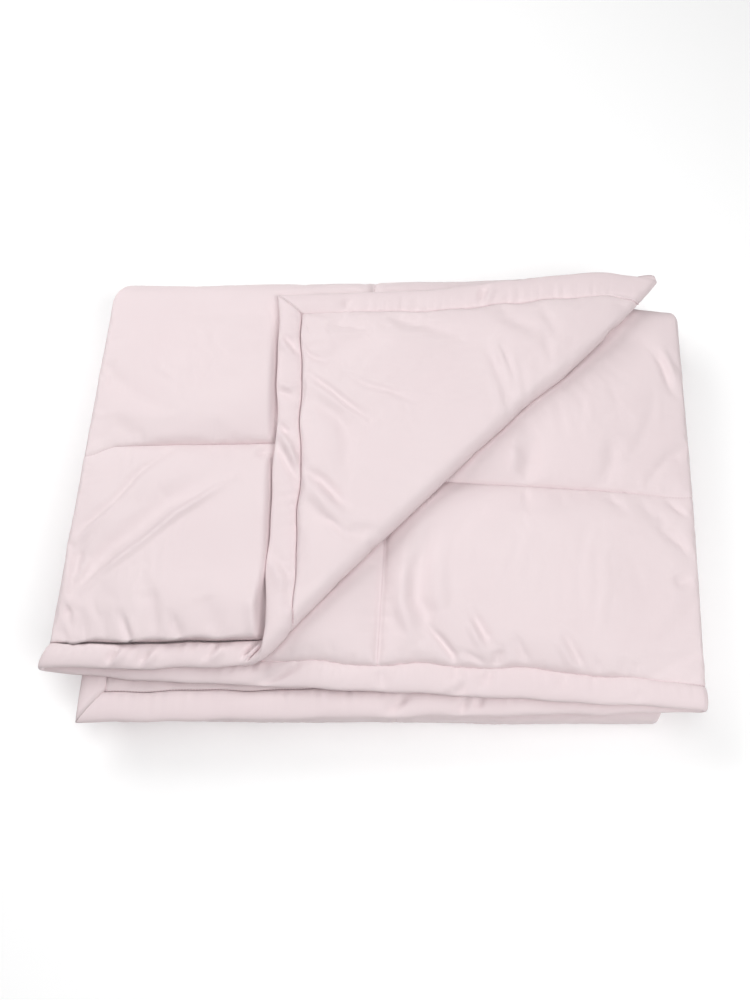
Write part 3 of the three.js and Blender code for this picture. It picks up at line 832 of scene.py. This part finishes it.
def face_height(u, v, upper):
    """Height of a face above the middle of the wool.

    Beside a sewn line it rises as a square root to half the thickness; where the face lies open it
    also rises as a quarter circle and swells by the crown of its box, or on the corner with the
    distance from its seams, and takes gathers, creases and unevenness. The face on the ground is flat
    and thins only towards its free edges."""
    x, y = plan(u, v)
    past, along = past_diagonal(x, y)
    first = (u <= LEFT_FOLD) & (v <= BACK_FOLD)
    on_top = first & upper & (past < 0)
    on_corner = first & ~upper & (past > 0)
    on_second = (u > LEFT_FOLD) & (u < RIGHT_FOLD) & (v < BACK_FOLD) & ~upper
    opening = {
        "top": on_top * beside_corner(x, y),
        "second": on_second * ease(past - edge_bow(along), *SECOND_OPENS),
        "corner": on_corner * ease(past, ROLL_LENGTH / 2, ROLL_LENGTH + FLAP_SETTLE),
    }
    near = sewn_distance(u, v, on_corner)
    height = SEAM_HALF + (HALF_THICK - SEAM_HALF) * np.sqrt(np.clip(near / SEAM_REACH, 0, 1))
    boxes = np.where(on_corner, ease(near, 0, CORNER_SWELL_REACH), crown(u, v))
    fine = fine_relief(u, v, near, on_corner)
    clear = np.where(on_corner, 1, clear_of_folds(u, v, FOLD_FADE))
    clear_of_creases = np.where(on_corner, 1, clear_of_folds(u, v, CREASE_FADE))
    for face, share in opening.items():
        creased = crease_height(u, v, CREASES[face]) * ease(near, 0, SOFT_FADE)
        quick = RISE[face] * quarter_circle(near / RISE_REACH[face])
        full = clear * (quick + SWELL[face] * boxes)
        soft = clear_of_creases * (fine + creased)
        height = height + share * (full + soft)
    height = height + opening["top"] * clear * front_wall(v)
    height = np.where(on_corner, on_the_roll(height, past, along), height)
    height = height + upper * back_edge(u, v)
    flat_rest = (u > RIGHT_END) & (v > FRONT_END) & ~upper
    inside = np.minimum(LENGTH - BINDING - u, BREADTH - BINDING - v)
    rest = SEAM_HALF + (HALF_THICK - SEAM_HALF) * np.clip(inside / SEAM_REACH, 0, 1)
    return np.where(flat_rest, rest, height)


# Rows of points this near the cross line are drawn towards it, the nearest to a share of their
# distance; and the cuts across each cell that shows.
SEAM_ROWS = 11.5
SEAM_ROWS_NEAREST = 0.05
SHOWN_CUTS = 3


def body_mesh():
    """The flat body as a closed mesh: both faces and a rim, each cell that shows cut into four by four."""
    flat, cells = flat_body()
    count = len(flat)
    points = np.concatenate([np.column_stack([flat, side_up * np.ones(count)]) for side_up in (1, -1)])
    rings = [list(dict.fromkeys(ring)) for ring in cells.tolist()]
    edges = {}
    for ring in rings:
        for a, b in zip(ring, ring[1:] + ring[:1]):
            if not edges.pop((b, a), None):
                edges[(a, b)] = True
    upper = [ring[::-1] for ring in rings]
    under = [[count + a for a in ring] for ring in rings]
    rim = [[a, b, count + b, count + a] for a, b in edges]
    mesh = bpy.data.meshes.new("quilted_body_cloth")
    mesh.from_pydata(points.tolist(), [], upper + under + rim)
    centres = flat[cells].mean(1)
    shows = np.concatenate([is_seen(*centres.T, side_up) for side_up in (True, False)])
    work = bmesh.new()
    work.from_mesh(mesh)
    work.faces.ensure_lookup_table()
    cut = {edge for at in np.nonzero(shows)[0].tolist() for edge in work.faces[at].edges}
    bmesh.ops.subdivide_edges(work, edges=list(cut), cuts=SHOWN_CUTS, use_grid_fill=True)
    work.to_mesh(mesh)
    work.free()
    return mesh


def drawn_to_seam(u, v):
    """The breadth with its rows moved towards the cross line, so that the sewn hollow has steep sides."""
    away = v - CROSS_LINE
    share = np.minimum(np.abs(away) / SEAM_ROWS, 1)
    aligned = (turned_back(u, v) < 0) | (u > LEFT_START)
    drawn = away * (SEAM_ROWS_NEAREST + (1 - SEAM_ROWS_NEAREST) * share)
    return np.where(aligned, CROSS_LINE + drawn, v)


def mesh_points(mesh):
    """The mesh's points as an array."""
    points = np.empty(len(mesh.vertices) * 3)
    mesh.vertices.foreach_get("co", points)
    return points.reshape(-1, 3)


def set_points(mesh, points):
    """Puts an array of points into the mesh."""
    mesh.vertices.foreach_set("co", np.ascontiguousarray(points, np.float32).ravel())
    mesh.update()


def set_flat_map(mesh, flat):
    """A UV map of flat coordinates in metres, so that the weave follows the cloth."""
    corners = np.empty(len(mesh.loops), int)
    mesh.loops.foreach_get("vertex_index", corners)
    flat_map = mesh.uv_layers.new(name="flat")
    flat_map.uv.foreach_set("vector", (flat[corners] * MM).astype(np.float32).ravel())


def set_stitch_lines(mesh, u, v, on_corner):
    """Each point's distance to the nearest sewn line and its place along that line, in metres."""
    across, along = line_distance(LINES_U, u), line_distance(LINES_V, v)
    columns = {"sewn": sewn_distance(u, v, on_corner), "run": np.where(across < along, v, u)}
    for name, column in columns.items():
        attribute = mesh.attributes.new(name, "FLOAT", "POINT")
        attribute.data.foreach_set("value", (column * MM).astype(np.float32))


def add_piece(mesh, node, material):
    """An object for a mesh that rides on the part and stands for one of its solids."""
    mesh.polygons.foreach_set("use_smooth", np.ones(len(mesh.polygons), bool))
    mesh.materials.append(material)
    piece = bpy.data.objects.new(mesh.name, mesh)
    bpy.context.scene.collection.objects.link(piece)
    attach(piece, "root")
    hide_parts(node)
    return piece


# Settling of the cloth that shows: how much it is cut full, the push of the wool, the number of
# steps, the most that a point may move in metres, and a length that keeps a division from zero.
FULL_CUT = 0.004
WOOL_PUSH = 1.5
SETTLE_STEPS = 14
SETTLE_MOST = 0.004
SHORTEST = 1e-9
CLOTH = {
    "quality": 5,
    "mass": 0.25,
    "tension_stiffness": 25,
    "compression_stiffness": 25,
    "shear_stiffness": 8,
    "bending_stiffness": 1.0,
    "air_damping": 4,
    "shrink_min": -FULL_CUT,
    "use_pressure": True,
    "uniform_pressure_force": WOOL_PUSH,
}

# How free the cloth is: from how far off a sewn line, its freedom beside the line, how much less that
# is in the middle of a box, and the distances over which it changes, in millimetres; and the digits
# that are kept of a hold.
FREE_FROM = 1
FREE_BESIDE = 0.97
FREE_LESS = 0.1
FREE_CHANGE = (30, 90)
HOLD_DIGITS = 2


def loose_sheet(mesh, free):
    """A sheet of the faces that have a free point, and the places of its points in the mesh.

    Each point is held with a weight of one less its freedom."""
    work = bmesh.new()
    work.from_mesh(mesh)
    place_layer = work.verts.layers.int.new("place")
    for vert in work.verts:
        vert[place_layer] = vert.index
    loose = free > 0
    drop = [face for face in work.faces if not any(loose[vert.index] for vert in face.verts)]
    bmesh.ops.delete(work, geom=drop, context="FACES")
    cloth = bpy.data.meshes.new("settling_cloth")
    work.to_mesh(cloth)
    work.free()
    place = np.empty(len(cloth.vertices), int)
    cloth.attributes["place"].data.foreach_get("value", place)
    sheet = bpy.data.objects.new("settling_cloth", cloth)
    bpy.context.scene.collection.objects.link(sheet)
    held = sheet.vertex_groups.new(name="held")
    levels = np.round(1 - free[place], HOLD_DIGITS)
    for level in np.unique(levels[levels > 0]):
        held.add(np.nonzero(levels == level)[0].tolist(), float(level), "REPLACE")
    return sheet, place


def settled_points(mesh, free):
    """The mesh's points after the cloth that shows has been cut a little full and pushed out by the wool.

    free is near one where the cloth may move and zero where it is held. A hyperbolic tangent keeps
    each point's motion below the most it may move."""
    sheet, place = loose_sheet(mesh, free)
    modifier = sheet.modifiers.new("settle", "CLOTH")
    for key, value in CLOTH.items():
        setattr(modifier.settings, key, value)
    modifier.settings.vertex_group_mass = "held"
    modifier.settings.effector_weights.gravity = 0
    modifier.collision_settings.use_collision = False
    modifier.point_cache.frame_start = 1
    modifier.point_cache.frame_end = SETTLE_STEPS
    scene = bpy.context.scene
    for step in range(1, SETTLE_STEPS + 1):
        scene.frame_set(step)
    settled = sheet.evaluated_get(bpy.context.evaluated_depsgraph_get()).to_mesh()
    points = mesh_points(mesh)
    motion = mesh_points(settled) - points[place]
    length = np.linalg.norm(motion, axis=1, keepdims=True)
    points[place] += motion * SETTLE_MOST * np.tanh(length / SETTLE_MOST) / np.maximum(length, SHORTEST)
    scene.frame_set(1)
    cloth = sheet.data
    bpy.data.objects.remove(sheet)
    bpy.data.meshes.remove(cloth)
    return points


def add_body(material):
    """The quilted body: drawn flat, folded with the relief of its faces, and settled."""
    mesh = body_mesh()
    flat = mesh_points(mesh)
    u, v, upper = flat[:, 0], drawn_to_seam(flat[:, 0], flat[:, 1]), flat[:, 2] > 0
    height = np.where(upper, 1, -1) * face_height(u, v, upper)
    on_corner = ~upper & (turned_back(u, v) > 0)
    set_flat_map(mesh, np.stack([u, v], -1))
    set_stitch_lines(mesh, u, v, on_corner)
    set_points(mesh, to_part(fold(u, v - overhang(u, v, upper), height)))
    near = sewn_distance(u, v, on_corner)
    freedom = FREE_BESIDE - FREE_LESS * ease(near, *FREE_CHANGE)
    free = is_seen(u, v, upper) * (near > FREE_FROM) * freedom
    set_points(mesh, settled_points(mesh, free))
    add_piece(mesh, "quilted_body", material)


# Bindings: points round the section, half the thickness and the roundness of its oval, and stations.
SECTION_POINTS = 30
BINDING_HALF = 4.1
OVAL_POWER = 0.75
SHOWN_STEP = 3.0
HIDDEN_STEP = 6.0
FOLD_STATIONS = 25
STATION_DIGITS = 3

# How far a strip is tucked over its seam; below zero it stops short of it.
SEAM_GAP = -0.3
FRONT_GAP = -1.8
SEAM_TUCK = 1.5
ALL_TUCKED = ((0, 1), (SEAM_TUCK, SEAM_TUCK))
FRONT_TUCKS = (
    (440, 470, 630, LEFT_FOLD, LEFT_FOLD + 60, RIGHT_FOLD - 30, RIGHT_FOLD),
    (SEAM_GAP, FRONT_GAP, FRONT_GAP, SEAM_GAP, SEAM_TUCK, SEAM_TUCK, SEAM_GAP),
)

# How uneven a strip is: gathers at its seam, creases, slow unevenness and a wandering outer edge.
BINDING_GATHER = 0.8
BINDING_GATHER_LENGTHS = (7, 20)
BINDING_CREASE = 1.5
BINDING_UNEVEN = 0.35
BINDING_UNEVEN_LENGTHS = (40, 130)
BINDING_WANDER = 0.7
BINDING_WANDER_FROM = 8
BINDING_WANDER_LENGTHS = (50, 160)
BINDING_SEED = 200
BINDING_SEED_STEP = 10

# A strip is fuller on the roll of the diagonal, and thinner over a stretch at the tip.
ROLL_FULLER = 0.5
ROLL_FULLER_IN = (-1, 6)
ROLL_FULLER_FADE = 15
TIP_HALF = 0.45
TIP_STRETCH = (330.0, 420.0, 510.0, 570.0)
TIP_SHARE = (0, 1, 1, 0)

# Slants: each mitre leans over a reach, and where a strip is turned back it leans before the diagonal
# and stands upright again after it.
MITRE_GAP = 0.25
MITRE_REACH = 40
SLANT_STARTS = 200
SLANT_WHOLE = 45
SLANT_ENDS = 60


def binding_section(tuck):
    """The folded strip across its width: a flattened oval, its thin side tucked over the seam."""
    turn = np.linspace(0, 2 * np.pi, SECTION_POINTS, endpoint=False)
    out = (BINDING + tuck[:, None]) * (1 - np.cos(turn)) / 2 - tuck[:, None]
    rise = np.sign(np.sin(turn)) * np.abs(np.sin(turn)) ** OVAL_POWER
    return out, np.broadcast_to(rise, out.shape)


def strip_mesh(name, at, slope, flat_place, turned, seed, creases, tucks):
    """A closed strip: the oval section carried along stations that may lean, uneven and creased.

    flat_place gives the flat place of a point along and out from the seam, turned whether that turns
    the faces round, creases the rows of creases of the upper and the under face, and tucks how far the
    strip is tucked over the seam. No point goes below the floor."""
    out, rise = binding_section(np.interp(at, *tucks))
    along = at[:, None] + slope[:, None] * out
    outer = ease(out, BINDING_WANDER_FROM, BINDING)
    across = out + BINDING_WANDER * outer * ripple(along, seed, BINDING_WANDER_LENGTHS)
    u, v = flat_place(along, across)
    past = turned_back(u, v)
    on_roll = ease(past, *ROLL_FULLER_IN) * (1 - ease(past, ROLL_LENGTH, ROLL_LENGTH + ROLL_FULLER_FADE))
    rise = np.sign(rise) * np.abs(rise) ** (1 - ROLL_FULLER * on_roll)
    uneven = BINDING_UNEVEN * ripple(along, seed + 1, BINDING_UNEVEN_LENGTHS)
    gathered = np.exp(-np.abs(out) / GATHER_REACH) * ripple(along, seed + 2, BINDING_GATHER_LENGTHS)
    creased = np.where(rise > 0, crease_height(u, v, creases[0]), crease_height(u, v, creases[1]))
    half = BINDING_HALF + (uneven + BINDING_GATHER * gathered) + BINDING_CREASE * creased
    flattened = 1 - (1 - TIP_HALF) * (u < BINDING) * np.interp(v, TIP_STRETCH, TIP_SHARE)
    points = to_part(fold(u, v, rise * flattened * half))
    points[..., 2] = np.maximum(points[..., 2], 0)
    rows, columns = along.shape
    index = np.arange(rows * columns).reshape(rows, columns)
    after = np.roll(index, -1, 1)
    faces = np.stack([index[:-1], after[:-1], after[1:], index[1:]], -1).reshape(-1, 4).tolist()
    faces += [index[0, ::-1].tolist(), index[-1].tolist()]
    if turned:
        faces = [face[::-1] for face in faces]
    mesh = bpy.data.meshes.new(name)
    mesh.from_pydata(points.reshape(-1, 3).tolist(), [], faces)
    set_flat_map(mesh, np.stack([u.ravel(), v.ravel()], -1))
    return mesh


def strip_stations(length, slants, step, turns):
    """Even stations along an edge, closer in the folds, leaning as a table of places and slants says."""
    first, last = BINDING + MITRE_GAP, length - BINDING - MITRE_GAP
    places = [np.arange(first, last, step), [last]]
    places += [np.linspace(start, end, FOLD_STATIONS) for start, end in turns]
    at = np.unique(np.round(np.concatenate(places), STATION_DIGITS))
    return at, np.interp(at, *zip(*slants))


def end_slants(length):
    """The mitres: a strip leans by one at each end, and stands upright again a little way in."""
    near, far = BINDING + MITRE_GAP, length - BINDING - MITRE_GAP
    return [(near, -1.0), (near + MITRE_REACH, 0.0)], [(far - MITRE_REACH, 0.0), (far, 1.0)]


def turned_slants(diagonal, upright):
    """Where a strip is turned back: it leans by one up to the diagonal, and stands upright after it."""
    return [
        (diagonal - SLANT_STARTS, 0.0), (diagonal - SLANT_WHOLE, 1.0), (diagonal, 1.0), (upright, 0.0),
    ]


def add_bindings(material):
    """The four strips, each mitred at both ends; two of them are turned back with the corner."""
    turns_u = [(LEFT_START, LEFT_END), (RIGHT_START, RIGHT_END)]
    turns_v = [(BACK_START, BACK_END), (FRONT_START, FRONT_END)]
    first_u, last_u = end_slants(LENGTH)
    first_v, last_v = end_slants(BREADTH)
    at_foot = turned_slants(DIAGONAL_AT_FRONT, LEFT_START)
    at_tip = turned_slants(DIAGONAL_END, DIAGONAL_END + SLANT_ENDS)
    rows = BINDING_CREASES
    front_creases = rows["top"] + rows["third"], rows["corner"] + rows["second"]
    strips = [
        ("binding_front", LENGTH, first_u + at_foot + last_u, SHOWN_STEP, turns_u,
         lambda along, out: (along, BINDING - out), True, front_creases, FRONT_TUCKS),
        ("binding_turned_end", BREADTH, first_v + at_tip + last_v, SHOWN_STEP, turns_v,
         lambda along, out: (BINDING - out, along), False, ((), rows["end"]), ALL_TUCKED),
        ("binding_inner_end", BREADTH, first_v + last_v, HIDDEN_STEP, turns_v,
         lambda along, out: (LENGTH - BINDING + out, along), True, ((), ()), ALL_TUCKED),
        ("binding_under", LENGTH, first_u + last_u, HIDDEN_STEP, turns_u,
         lambda along, out: (along, BREADTH - BINDING + out), False, ((), ()), ALL_TUCKED),
    ]
    for order, (node, length, slants, step, turns, flat_place, turned, creases, tucks) in enumerate(strips):
        at, slope = strip_stations(length, slants, step, turns)
        seed = BINDING_SEED + BINDING_SEED_STEP * order
        mesh = strip_mesh(node + "_cloth", at, slope, flat_place, turned, seed, creases, tucks)
        add_piece(mesh, node, material)


# Cotton: the pitch of its threads and of its stitches and half a stitch's width in metres, the level
# above which a stitch's wave shows, its colours where the dye is deep and pale, and the stitches' own.
THREAD_PITCH = 0.0005
STITCH_PITCH = 0.0032
STITCH_HALF = 0.0006
STITCH_SHOWS = -0.5
DYE_DEEP = (0.795, 0.668, 0.686)
DYE_PALE = (0.845, 0.733, 0.745)
BINDING_DEEP = (0.785, 0.655, 0.674)
BINDING_PALE = (0.84, 0.725, 0.738)
THREAD_COLOR = (0.74, 0.6, 0.62)

# The slow unevenness of the dye and the fine one of the threads: scales of their noise in waves to the
# metre, how far a thread's noise is stretched, and their shares in tone, roughness and height; then the
# depth of the weave and the gloss.
DYE_SCALE = 9.0
THREAD_SCALE = 30.0
THREAD_STRETCH = 60
NOISE_DETAIL = 2.0
TONE = {"threads": 0.3, "dye": 0.8, "base": -0.2}
ROUGHNESS = {"threads": 0.12, "dye": 0.1, "base": 0.42}
THREAD_HEIGHT = 0.5
BUMP = {"Strength": 0.25, "Distance": 0.0002}
SHEEN = {"Specular IOR Level": 0.35, "Sheen Weight": 0.12, "Sheen Roughness": 0.4}


class Nodes:
    """Adds nodes to a tree and joins them."""

    def __init__(self, tree):
        self.tree = tree

    def add(self, kind, inputs=(), **settings):
        """A node with settings; an input that is another node's socket is joined, and a value is set."""
        node = self.tree.nodes.new(kind)
        for key, value in settings.items():
            setattr(node, key, value)
        for key, value in dict(inputs).items():
            if isinstance(value, bpy.types.NodeSocket):
                self.tree.links.new(value, node.inputs[key])
            else:
                node.inputs[key].default_value = value
        return node

    def math(self, operation, *values):
        """The result of one operation on sockets and numbers."""
        return self.add("ShaderNodeMath", dict(enumerate(values)), operation=operation).outputs[0]

    def noise(self, flat, scale, stretch):
        """Noise on the flat cloth; unequal stretches draw it out along a thread."""
        placed = self.add("ShaderNodeMapping", {"Vector": flat, "Scale": stretch}).outputs[0]
        inputs = {"Vector": placed, "Scale": scale, "Detail": NOISE_DETAIL}
        return self.add("ShaderNodeTexNoise", inputs).outputs["Fac"]

    def uneven(self, threads, dye, shares):
        """A base value, with the noises of threads and dye added in their shares."""
        slow = self.math("MULTIPLY_ADD", dye, shares["dye"], shares["base"])
        return self.math("MULTIPLY_ADD", threads, shares["threads"], slow)

    def blend(self, share, first, second):
        """A colour between two colours."""
        mixed = self.add("ShaderNodeMix", {0: share, 6: first, 7: second}, data_type="RGBA")
        return mixed.outputs[2]


def weave_height(nodes, flat):
    """Plain weave: the product of a sine along each thread, so that they go over and under in turn."""
    parts = nodes.add("ShaderNodeSeparateXYZ", {0: flat})
    waves = [
        nodes.math("SINE", nodes.math("MULTIPLY", parts.outputs[axis], 2 * np.pi / THREAD_PITCH))
        for axis in (0, 1)
    ]
    return nodes.math("MULTIPLY_ADD", nodes.math("MULTIPLY", *waves), 0.5, 0.5)


def stitch_share(nodes):
    """One on a stitch: near a sewn line, and on the longer part of each step along it."""
    away = nodes.add("ShaderNodeAttribute", attribute_name="sewn").outputs["Fac"]
    run = nodes.add("ShaderNodeAttribute", attribute_name="run").outputs["Fac"]
    near = nodes.math("LESS_THAN", away, STITCH_HALF)
    wave = nodes.math("SINE", nodes.math("MULTIPLY", run, 2 * np.pi / STITCH_PITCH))
    return nodes.math("MULTIPLY", near, nodes.math("GREATER_THAN", wave, STITCH_SHOWS))


def cotton_group(name, stitched):
    """Smooth woven cotton on the flat map: uneven dye and threads, weave, and stitches where it is sewn."""
    group = bpy.data.node_groups.new(name, "ShaderNodeTree")
    for socket in ("Deep", "Pale"):
        group.interface.new_socket(socket, in_out="INPUT", socket_type="NodeSocketColor")
    group.interface.new_socket("Color", in_out="OUTPUT", socket_type="NodeSocketColor")
    for socket in ("Roughness", "Height"):
        group.interface.new_socket(socket, in_out="OUTPUT", socket_type="NodeSocketFloat")
    nodes = Nodes(group)
    dyes = nodes.add("NodeGroupInput").outputs
    flat = nodes.add("ShaderNodeUVMap", uv_map="flat").outputs[0]
    slow = nodes.noise(flat, DYE_SCALE, (1, 1, 1))
    warp = nodes.noise(flat, THREAD_SCALE, (1, THREAD_STRETCH, 1))
    weft = nodes.noise(flat, THREAD_SCALE, (THREAD_STRETCH, 1, 1))
    threads = nodes.math("ADD", warp, weft)
    color = nodes.blend(nodes.uneven(threads, slow, TONE), dyes["Deep"], dyes["Pale"])
    height = nodes.math("MULTIPLY_ADD", threads, THREAD_HEIGHT, weave_height(nodes, flat))
    if stitched:
        stitch = stitch_share(nodes)
        color = nodes.blend(stitch, color, (*THREAD_COLOR, 1))
        height = nodes.math("ADD", height, stitch)
    roughness = nodes.uneven(threads, slow, ROUGHNESS)
    nodes.add("NodeGroupOutput", {"Color": color, "Roughness": roughness, "Height": height})
    return group


def cloth_material(name, group, deep, pale):
    """Cotton of one dye with a soft sheen."""
    material = bpy.data.materials.new(name)
    material.use_nodes = True
    nodes = Nodes(material.node_tree)
    shader = material.node_tree.nodes["Principled BSDF"]
    cotton = nodes.add("ShaderNodeGroup", node_tree=group)
    cotton.inputs["Deep"].default_value = (*deep, 1)
    cotton.inputs["Pale"].default_value = (*pale, 1)
    bump = nodes.add("ShaderNodeBump", {"Height": cotton.outputs["Height"], **BUMP})
    links = material.node_tree.links
    links.new(cotton.outputs["Color"], shader.inputs["Base Color"])
    links.new(cotton.outputs["Roughness"], shader.inputs["Roughness"])
    links.new(bump.outputs["Normal"], shader.inputs["Normal"])
    for socket, value in SHEEN.items():
        shader.inputs[socket].default_value = value
    return material


# The camera, read from the photograph: its turn, its aim in the fold's axes and its distance in
# millimetres, and its lens in pixels of a picture a thousand high.
CAMERA_ELEVATION, CAMERA_AZIMUTH = np.radians(68.966), np.radians(0.338)
CAMERA_AIM = np.array([-10.851, -42.312, 65.0])
CAMERA_DISTANCE = 1262.804
CAMERA_LENS = 1152.703
PICTURE_HEIGHT = 1000
SENSOR = 36.0


def add_camera():
    """The camera stands back from its aim along the viewing direction, level with the floor."""
    elevation, azimuth = CAMERA_ELEVATION, CAMERA_AZIMUTH
    level = np.cos(elevation)
    back = np.array([np.sin(azimuth) * level, -np.cos(azimuth) * level, np.sin(elevation)])
    right = np.array([np.cos(azimuth), np.sin(azimuth), 0])
    place = to_part(CAMERA_AIM + CAMERA_DISTANCE * back)
    camera = bpy.data.cameras.new("camera")
    camera.sensor_width = SENSOR
    camera.lens = CAMERA_LENS / PICTURE_HEIGHT * SENSOR
    holder = bpy.data.objects.new("camera", camera)
    bpy.context.scene.collection.objects.link(holder)
    turn = np.eye(4)
    turn[:3] = np.stack([right, np.cross(back, right), back, place], 1)
    holder.matrix_world = Matrix(turn.tolist())
    bpy.context.scene.camera = holder


# Lights with their places and sizes in metres and their power, the floor, and the light from all round.
LIGHTS = (
    ("overhead", (0, 0, 2.2), 1.4, 15),
    ("window", (-1.2, 1.2, 1.4), 1.4, 29),
    ("reflector", (1.0, -1.0, 1.7), 1.4, 27),
)
WHITE = (1, 1, 1, 1)
FLOOR_HALF = 4.0
FLOOR_LOOK = {
    "Base Color": (0.95, 0.95, 0.95, 1),
    "Roughness": 0.9,
    "Emission Color": WHITE,
    "Emission Strength": 0.12,
}
WORLD_STRENGTH = 0.03


def add_light(name, place, size, power):
    """A square soft light aimed at the duvet."""
    light = bpy.data.lights.new(name, "AREA")
    light.energy = power
    light.size = size
    holder = bpy.data.objects.new(name, light)
    bpy.context.scene.collection.objects.link(holder)
    turn = (-Vector(place)).to_track_quat("-Z", "Y").to_matrix().to_4x4()
    holder.matrix_world = Matrix.Translation(place) @ turn


def add_floor():
    """A plain pale floor that glows a little."""
    corners = [(FLOOR_HALF * x, FLOOR_HALF * y, 0) for x, y in ((-1, -1), (1, -1), (1, 1), (-1, 1))]
    mesh = bpy.data.meshes.new("floor")
    mesh.from_pydata(corners, [], [(0, 1, 2, 3)])
    material = bpy.data.materials.new("pale_floor")
    material.use_nodes = True
    shader = material.node_tree.nodes["Principled BSDF"]
    for socket, value in FLOOR_LOOK.items():
        shader.inputs[socket].default_value = value
    mesh.materials.append(material)
    floor = bpy.data.objects.new("floor", mesh)
    bpy.context.scene.collection.objects.link(floor)


def add_world():
    """Even white light from all round."""
    world = bpy.data.worlds.new("studio")
    world.use_nodes = True
    background = world.node_tree.nodes["Background"]
    background.inputs["Color"].default_value = WHITE
    background.inputs["Strength"].default_value = WORLD_STRENGTH
    bpy.context.scene.world = world


add_camera()
add_body(cloth_material("duvet_cotton", cotton_group("quilted_cotton", True), DYE_DEEP, DYE_PALE))
add_bindings(
    cloth_material("binding_cotton", cotton_group("binding_weave", False), BINDING_DEEP, BINDING_PALE)
)
add_floor()
for light in LIGHTS:
    add_light(*light)
add_world()
bpy.context.scene.view_settings.view_transform = "Standard"
